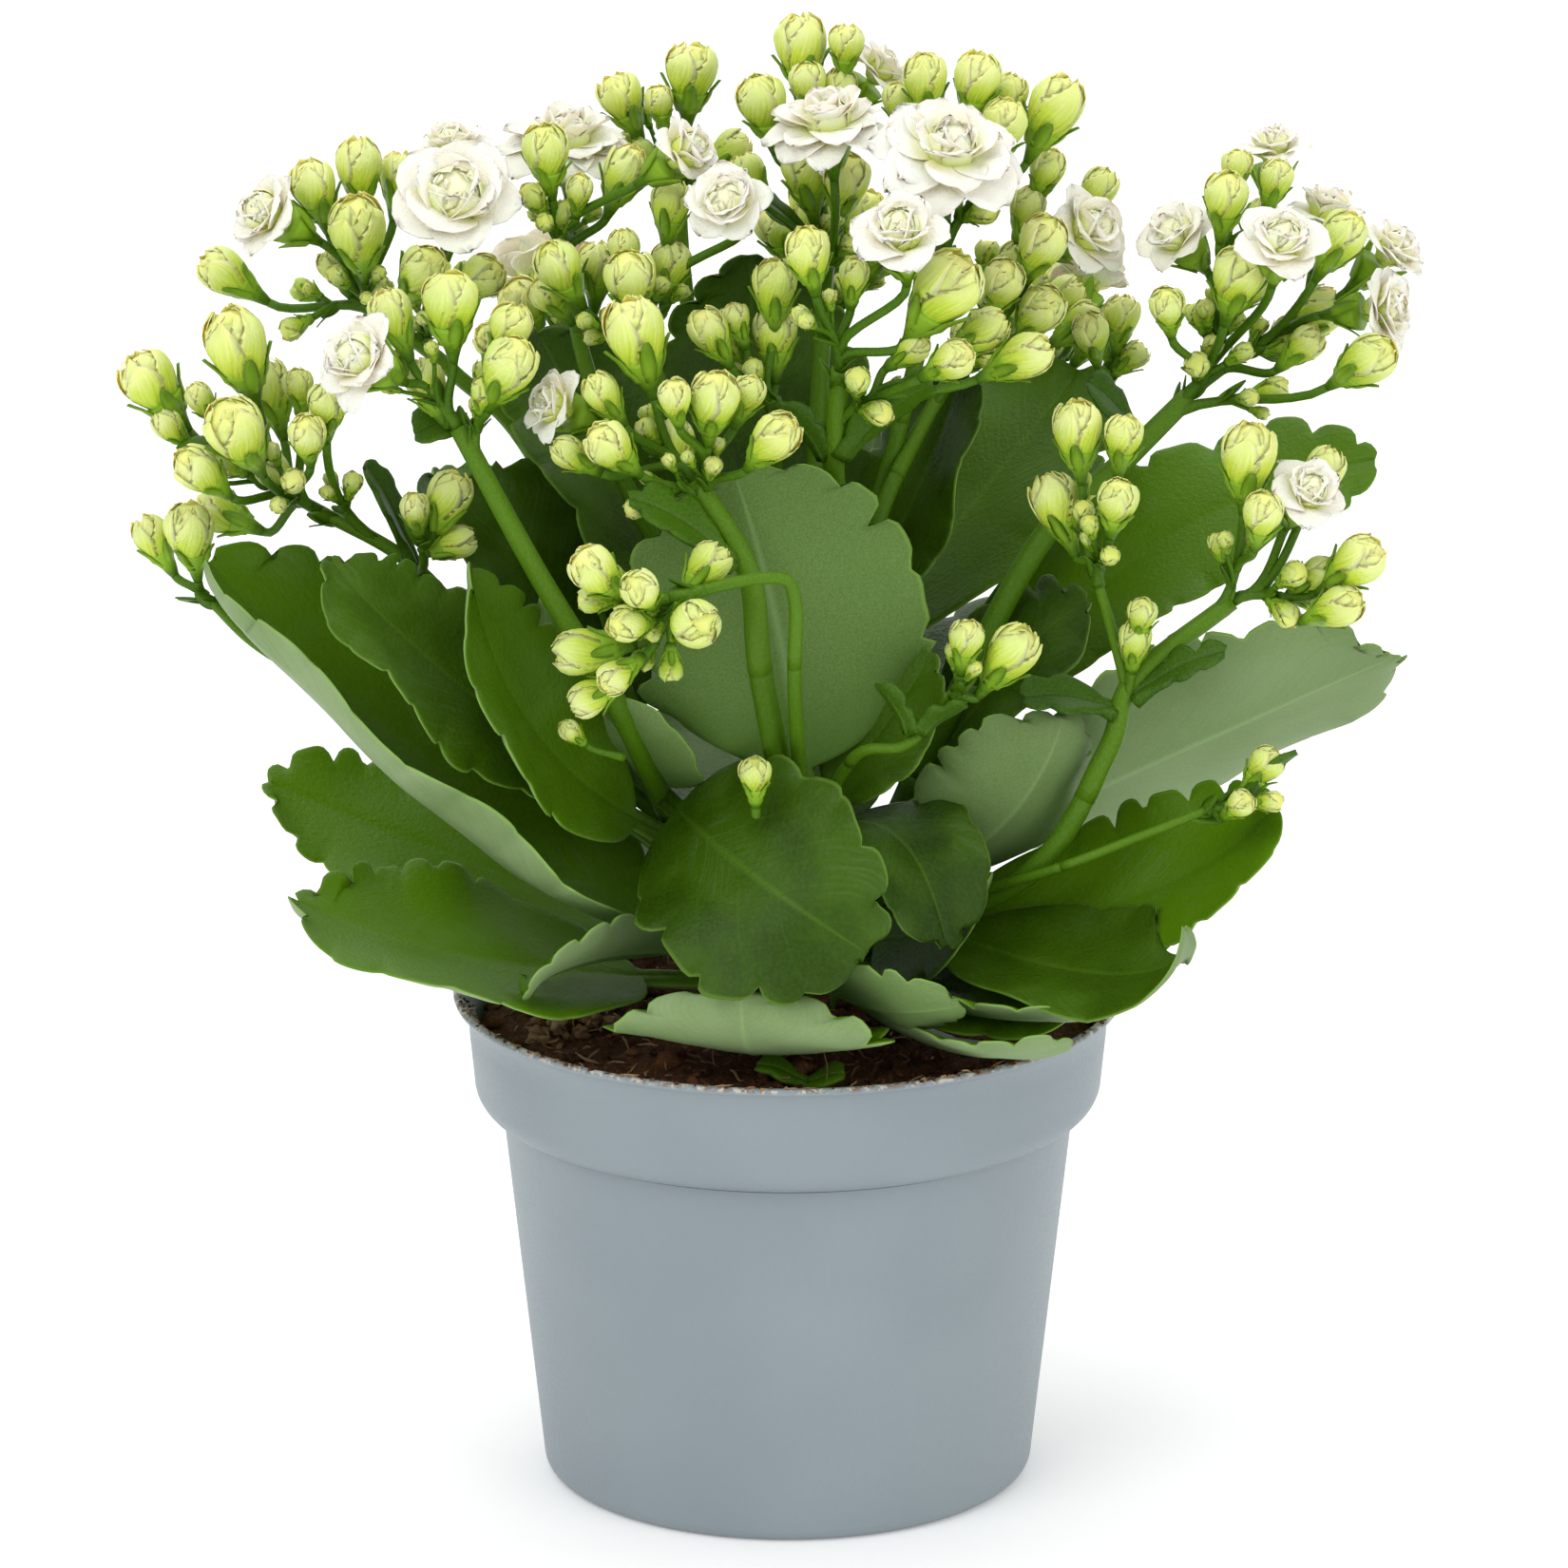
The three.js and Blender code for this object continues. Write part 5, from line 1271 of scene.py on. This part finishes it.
# A narrow pointed bract or sepal, from root along way, leaning over to out
def addSepal(shape, root, way, out, length, width, tone, lean):
    over = way.cross(out).normalized()
    thick, rows = sepalForm["thick"], sepalForm["rows"]
    rings = []
    for row in range(rows):
        t = row / (rows - 0.7)
        half = width * 0.806 * math.sqrt(t + 0.12) * (1 - t) ** 0.75
        centre = root + way * length * t + out * length * lean * t * t
        hollow = out * 0.22 * half
        rings.append([centre - over * half + hollow, centre - over * half * 0.5 - out * thick * 0.4,
                      centre - out * thick * 0.5, centre + over * half * 0.5 - out * thick * 0.4,
                      centre + over * half + hollow, centre + out * thick * 0.5])
    addRings(shape, rings, 0, tone)


# The green cup that swells from a stalklet to the bud, with four sepals that hug it
def addCalyx(shape, neck, seat, face, size, rng, tone):
    side, over = frameOf(face)
    sides, steps = (10, 6) if size > 2.4 else (8, 4)
    thin = min(branchForm["thin"], size * 0.3) / size
    stem = (neck - seat).dot(face) / size
    rows = ((stem, thin), (mix(stem, -1.6, 0.35), thin * 1.35), (mix(stem, -1.6, 0.75), max(0.3, thin * 1.7)))
    rings = [[seat + face * s * size + out * r * size for out in spokes(side, over, sides)]
             for s, r in rows + budForm["calyx"]]
    shades = [mix(min(tone, 0.6), 1.0, t) for t in (0.0, 0.3, 0.6, 0.8, 0.95, 1.0, 1.0, 1.0)]
    addRings(shape, rings, 0, shades, [0.0, 0.3, 0.6, 0.75, 0.85, 0.95, 1.0, 1.0])
    spin = rng.uniform(0, 6.28)
    for k in range(sepalForm["perBud"]):
        turn = spin + k * math.pi / 2 + rng.uniform(-0.12, 0.12)
        top, flare = -0.15 + rng.uniform(-0.25, 0.2), rng.uniform(0.06, 0.22)
        rings = []
        for row in range(steps + 1):
            v = row / (steps + 0.35)
            s = mix(-1.6, top, v)
            radius = max(budRadius(s), mix(0.36, 0.66, smooth(-1.6, -0.95, s)))
            radius += mix(0.02, 0.06, v) + flare * v ** 3
            halfTurn = 0.336 * (1 - v) ** 0.6 * (0.75 + v) / max(radius, 0.3)
            ring = []
            for u, out in ((-1, 0), (0, 0.09), (1, 0), (0, -0.05)):
                outward = outAt(side, over, turn + u * halfTurn)
                ring.append(seat + face * s * size + outward * (radius + out) * size)
            rings.append(ring)
        shares = [row / steps for row in range(steps + 1)]
        addRings(shape, rings, 0, [mix(0.98, 0.8, t) for t in shares], [0.8 + 0.2 * t for t in shares])


def addBloomCalyx(shape, neck, seat, face, rng, tone):
    side, over = frameOf(face)
    radii = [branchForm["thin"], 1.1, 1.9, 2.5, 2.9, 3.1]
    addTube(shape, [neck.lerp(seat, t) for t in (0, 0.25, 0.5, 0.7, 0.85, 1.0)], radii, 12, 0,
            [mix(min(tone, 0.6), 1.0, t) for t in (0, 0.4, 0.7, 0.9, 1, 1)])
    spin = rng.uniform(0, 6.28)
    for k in range(sepalForm["perBud"]):
        out = outAt(side, over, spin + k * math.pi / 2)
        addSepal(shape, neck.lerp(seat, 0.35) + out * 1.5, (face + out * 0.35).normalized(), out, 6.5, 2.6,
                 0.9, rng.uniform(0.1, 0.35))


# Flower sprays: stalk, branches, buds, calyxes and bracts
branchForm = {"radius": 1, "thin": 0.7, "drop": 2.3, "climb": 0.72, "most": 26, "budlets": 3, "bracts": 3,
              "headBracts": 4, "neck": 2.2}


# Where a branch to the neck leaves a stalk so that it climbs, and doesn't stand straight out
def forkOf(path, neck, most, low=0.3):
    length = curveLength(path)
    best = None
    for i in range(25):
        t = 1 - (1 - low) * i / 24
        if (1 - t) * length > most:
            break
        spot, way = curveAt(path, t), curveWay(path, t)
        rise = (neck - spot).normalized().dot(way)
        if rise > branchForm["climb"]:
            return spot, way
        if best is None or rise > best[0]:
            best = (rise, spot, way)
    return best[1], best[2]


# The line of a branch: it leaves along its stalk and arrives along the flower's own face
def branchLine(fork, way, neck, face):
    span = (neck - fork).length
    a, b = fork + way * span * 0.32, neck - face * span * 0.3
    line = []
    for i in range(9):
        t = i / 8
        line.append(fork * (1 - t) ** 3 + a * 3 * t * (1 - t) ** 2 + b * 3 * t ** 2 * (1 - t) + neck * t ** 3)
    return line


def addBranch(shape, line, foot, head, tone):
    last = len(line) - 1
    radii = [mix(foot, head, smooth(0, 0.5, i / last)) for i in range(len(line))]
    addTube(shape, line, radii, 10, 0, tone)


# Bracts that stand out round a stalk, from spots that startOf gives
def addBracts(shape, way, count, startOf, lengths, widths, tone, lean, rng):
    side, over = frameOf(way)
    for _ in range(count):
        out = outAt(side, over, rng.uniform(0, 6.28))
        addSepal(shape, startOf(), (way * 0.9 + out * 0.5).normalized(), out, rng.uniform(*lengths),
                 rng.uniform(*widths), tone(), lean())


# Least buds and bracts that crowd round a fork, kept clear of the buds already there
def addBudlets(shape, fork, way, rng):
    side, over = frameOf(way)
    for _ in range(branchForm["budlets"]):
        for _ in range(20):
            out = outAt(side, over, rng.uniform(0, 6.28)) * rng.uniform(0.4, 1.0)
            lead = (way + out + Vector((0, -0.15, 0.3))).normalized()
            size = rng.uniform(1.1, 2.3)
            seat = fork + lead * rng.uniform(4.5, 10)
            if all((seat - other["place"]).length > size + other["size"] + 0.3 for other in heads):
                break
        else:
            continue
        heads.append({"spray": "", "size": size, "place": seat})
        neck = seat - lead * size * branchForm["neck"]
        addBranch(shape, branchLine(fork, way, neck, lead), 0.55, size * 0.3, 0.6)
        addCalyx(shape, neck, seat, lead, size, rng, 0.6)
        addBud(shape, seat, lead, size, 1, rng.uniform(0.3, 0.7), rng, rich=False)
    addBracts(shape, way, branchForm["bracts"], lambda: fork - way * 0.5, (3.0, 5.0), (2.2, 3.2),
              lambda: rng.uniform(0.4, 0.8), lambda: rng.uniform(0.05, 0.25), rng)


# The heads of one spray, each on a branch. Every third bud leads with a branch of its own from the
# stalk, and the others leave the nearest of those.
def addHeads(shape, label, rng):
    path = pathOf(label)
    own = [h for h in heads if h["spray"] == label]
    leads = [h for h in own if not h["small"]][::3]
    others = [h for h in own if all(h is not lead for lead in leads)]
    branches = []
    for order, head in enumerate(leads + others):
        face, seat, neck = seatOf(curveAt(path, 1), head)
        tone, size = rng.uniform(0.3, 0.7), head["size"]
        thin = min(branchForm["thin"], size * 0.3) if head["small"] else branchForm["thin"]
        if order < len(leads):
            fork, way = forkOf(path, neck, branchForm["most"])
            line = branchLine(fork, way, neck, face)
            addBranch(shape, line, branchForm["radius"], thin, tone)
            branches.append(line)
            if (neck - fork).length > 4:
                addBudlets(shape, line[3], (line[4] - line[3]).normalized(), rng)
        else:
            line = min(branches, key=lambda b: (neck - b[2]).length + (neck - b[5]).length)
            fork, way = forkOf(line[0:7:2], neck, 30, 0.15)
            addBranch(shape, branchLine(fork, way, neck, face), thin * 1.2, thin, tone)
        if head["bloom"]:
            addBloomCalyx(shape, neck, seat, face, rng, tone)
        else:
            addCalyx(shape, neck, seat, face, size, rng, tone)
            addBud(shape, seat, face, size, 1, rng.choice((0, 0, 0.1, 0.2)), rng)


# A bud that grows by itself from a place low on the plant
def addLoneBud(shape, seat, root, size, rng):
    lead = ((seat - root).normalized() + Vector((0, -0.1, 0.35))).normalized()
    neck = seat - lead * size * branchForm["neck"]
    addBranch(shape, branchLine(root, (neck - root).normalized(), neck, lead), 0.7, size * 0.3, 0.6)
    addCalyx(shape, neck, seat, lead, size, rng, 0.7)
    addBud(shape, seat, lead, size, 1, 0.25, rng)


def makeSpray(name, guests):
    rng = random.Random(budForm["seed"] + sum(map(ord, name)))
    shape = newShape()
    for label in [name] + guests:
        path = pathOf(label)
        addStalk(shape, label, sprays[label]["join"] if label == name else 0.0, 1.0, 22, 0, 0.75)
        addHeads(shape, label, rng)
        addBracts(shape, curveWay(path, 1), branchForm["headBracts"],
                  lambda: curveAt(path, rng.uniform(0.9, 1)), (3.5, 6.0), (2.6, 3.6), lambda: 0.6,
                  lambda: 0.15, rng)
    for spray, tip, foot, width, roll in bracts:
        if spray == name:  # a small leafy bract, toothed where it is long
            foot, tip = seen(*foot), seen(*tip)
            mid = foot.lerp(tip, 0.5) + Vector((0, 0, 0.08 * (tip - foot).length))
            addLeaf(shape, foot, ("", 0, mid, tip, width, roll, (25, 25)), rng, 0, 0)
    for spray, at, foot, size in loneBuds:
        if spray == name:
            addLoneBud(shape, seen(*at), seen(*foot), size, rng)
    finishShape(shape, "spray" + titleOf(name), [stalkGreen, budGreen], ["spray_" + name])
    return len(shape["faces"])


heads = placeHeads()
placed = list(heads)
sprayFaces = 0
for sprayName, spray in sprays.items():
    if spray["grows"][0] == "stem":
        guests = [n for n, other in sprays.items() if other["grows"][:2] == ("spray", sprayName)]
        sprayFaces += makeSpray(sprayName, guests)
print("flower sprays made,", len(heads), "heads,", sprayFaces, "faces")

# Blooms: whorls of petals round a closed heart. A whorl is its share of the half span, its slope,
# its lift and its number of petals.
bloomForm = {
    "thick": 0.32, "rows": 10, "seed": 31, "half": (0.25, 0.6, 0.93, 1), "ruffle": 0.13,
    "open": {"whorls": ((1.0, 6, 0.2, 8), (0.9, 22, 0.7, 7), (0.74, 44, 1.2, 6), (0.6, 64, 1.6, 5)),
             "wide": 0.43, "heart": 0.34, "heartTop": 0.62, "heartTone": 0.8},
    "cup": {"whorls": ((1.1, 33, 0.3, 5), (1.04, 54, 0.7, 5), (0.94, 70, 1.1, 4)),
            "wide": 0.5, "heart": 0.42, "heartTop": 1.0, "heartTone": 0.95},
}


def addPetal(shape, root, way, face, length, slope, width, tone, rng, arch, cup):
    form = bloomForm
    across = face.cross(way).normalized()
    lean = math.radians(slope)
    reachWay = way * math.cos(lean) + face * math.sin(lean)
    lift = face * math.cos(lean) - way * math.sin(lean)
    cells = [-u for u in reversed(form["half"])] + list(form["half"])
    rows = form["rows"]
    shift, bend, point = rng.uniform(-20, 20), rng.uniform(-0.14, 0.14), rng.uniform(0.0, 0.16)
    rings, along = [], []
    for row in range(rows + 1):
        v = row / (rows + 0.2)
        tip = math.sqrt(max(0.0, 1 - ((v - 0.58) / 0.42) ** 2)) if v > 0.58 else 1
        breadth = width * (0.26 + 0.74 * smooth(0.0, 0.6, v)) * tip
        thick = form["thick"] * mix(1.2, 0.8, v)
        ring = []
        for u, front in roundSheet(cells):
            reach = length * v * (1 - 0.05 * v ** 4 * (1 - abs(u))) + point * length * v ** 6 * (1 - abs(u))
            wrinkle = noise.noise(Vector((u * 1.6 + shift, v * 2.4, shift)))
            fine = noise.noise(Vector((u * 4.5 + shift, v * 1.2, shift + 9)))
            rise = length * arch * (math.sin(math.pi * v) - 2.2 * smooth(0.55, 1.0, v) ** 2)
            rise += cup * breadth * (u * u) * (1 - 0.6 * v)
            rise += form["ruffle"] * length * wrinkle * v * v + 0.02 * length * fine * v
            rise += 0.5 * front * thick * math.sqrt(max(0.0, 1 - abs(u) ** 4))
            aside = u * breadth + bend * length * v * v
            ring.append(root + reachWay * reach + across * aside + lift * rise)
        rings.append(ring)
        along.append(v)
    addRings(shape, rings, 0, tone, along, sheetUv(cells))


def makeBloom(name, head, fork, node):
    rng = random.Random(bloomForm["seed"] + sum(map(ord, name)))
    face, seat, _ = seatOf(fork, head)
    form = bloomForm["open" if head["bloom"]["open"] else "cup"]
    root = seat + face * 0.3
    side, over = frameOf(face)
    half = head["bloom"]["span"] / 2
    shape = newShape()
    for order, (share, slope, lift, count) in enumerate(form["whorls"]):
        for k in range(count):
            turn = fullTurn * (k + 0.5 * order) / count + rng.uniform(-0.12, 0.12)
            way = outAt(side, over, turn)
            length = half * share * rng.uniform(0.88, 1.04)
            wide = length * form["wide"] * rng.uniform(0.85, 1.1)
            addPetal(shape, root + face * (lift + 0.18 * (k % 2)), way, face, length,
                     slope + rng.uniform(-9, 9), wide, 0.1 + 0.5 * order / len(form["whorls"]), rng,
                     0.07 - 0.03 * order, 0.2 + 0.14 * order)
    size = half * form["heart"]
    heart = root + face * (half * form["heartTop"] - 1.1 * size)
    addBud(shape, heart, face, size, 0, form["heartTone"], rng, -1.05)
    finishShape(shape, name, [petalWhite], [node])


bloomCount = 0
for sprayName, spray in sprays.items():
    own = [head for head in placed if head["spray"] == sprayName and head["bloom"]]
    for order, head in enumerate(own):
        makeBloom("bloom%s%d" % (titleOf(sprayName), order + 1), head, seen(*spray["path"][-1]),
                  "bloom_%s_%d" % (sprayName, order + 1))
        bloomCount += 1
print(bloomCount, "blooms made")

# Floor, light and camera. A light is its place, size, power and what it aims at, in metres. The
# camera's target is in millimetres, like the plant.
stageLook = {
    "floor": linear(247, 247, 247), "glow": 0.15, "reach": 6.0, "sky": 0.8,
    "lights": {
        "keyLight": ((-0.7, -0.9, 1.1), (0.9, 0.9), 6.8, (0, 0, 0.12)),
        "fillLight": ((0.95, -0.8, 0.6), (0.9, 0.9), 3.4, (0, 0, 0.12)),
        "topLight": ((0.0, 0.25, 1.3), (1.0, 0.8), 5.2, (0, 0, 0.12)),
        "farLight": ((0, 1.9, 1.4), (2.4, 1.0), 7.0, (0, 1.5, 0)),
    },
    "lens": 221.1, "film": 36, "away": 1.5, "tilt": math.radians(16.31), "target": (-0.6, 0, 111.6),
}


def makeFloor():
    mesh = bpy.data.meshes.new("floor")
    s = stageLook["reach"]
    mesh.from_pydata([(-s, -s, 0), (s, -s, 0), (s, s, 0), (-s, s, 0)], [], [(0, 1, 2, 3)])
    floor = bpy.data.objects.new("floor", mesh)
    bpy.context.scene.collection.objects.link(floor)
    finish, _, shader = newFinish("floorPaper", 0.9, Specular_IOR_Level=0.1,
                                  Emission_Strength=stageLook["glow"])
    shader.inputs["Base Color"].default_value = stageLook["floor"]
    shader.inputs["Emission Color"].default_value = stageLook["floor"]
    mesh.materials.append(finish)


# Something put at a place so that it looks at a target
def addAimed(name, data, place, target):
    thing = bpy.data.objects.new(name, data)
    thing.location = place
    thing.rotation_mode = "QUATERNION"
    thing.rotation_quaternion = (target - place).to_track_quat("-Z", "Y")
    bpy.context.scene.collection.objects.link(thing)
    return thing


def makeLights():
    world = bpy.data.worlds.new("studio")
    bpy.context.scene.world = world
    world.use_nodes = True
    world.node_tree.nodes["Background"].inputs["Color"].default_value = (1, 1, 1, 1)
    world.node_tree.nodes["Background"].inputs["Strength"].default_value = stageLook["sky"]
    for name, (place, size, power, aim) in stageLook["lights"].items():
        light = bpy.data.lights.new(name, "AREA")
        light.shape = "RECTANGLE"
        light.size, light.size_y = size
        light.energy = power
        addAimed(name, light, Vector(place), Vector(aim))


def makeCamera():
    lens = bpy.data.cameras.new("camera")
    lens.sensor_width = stageLook["film"]
    lens.lens = stageLook["lens"]
    lens.clip_end = 100
    target, tilt = Vector(stageLook["target"]) * metre, stageLook["tilt"]
    place = target + Vector((0, -math.cos(tilt), math.sin(tilt))) * stageLook["away"]
    bpy.context.scene.camera = addAimed("camera", lens, place, target)
    bpy.context.scene.view_settings.view_transform = "Standard"


makeFloor()
makeLights()
makeCamera()
print("stage set")
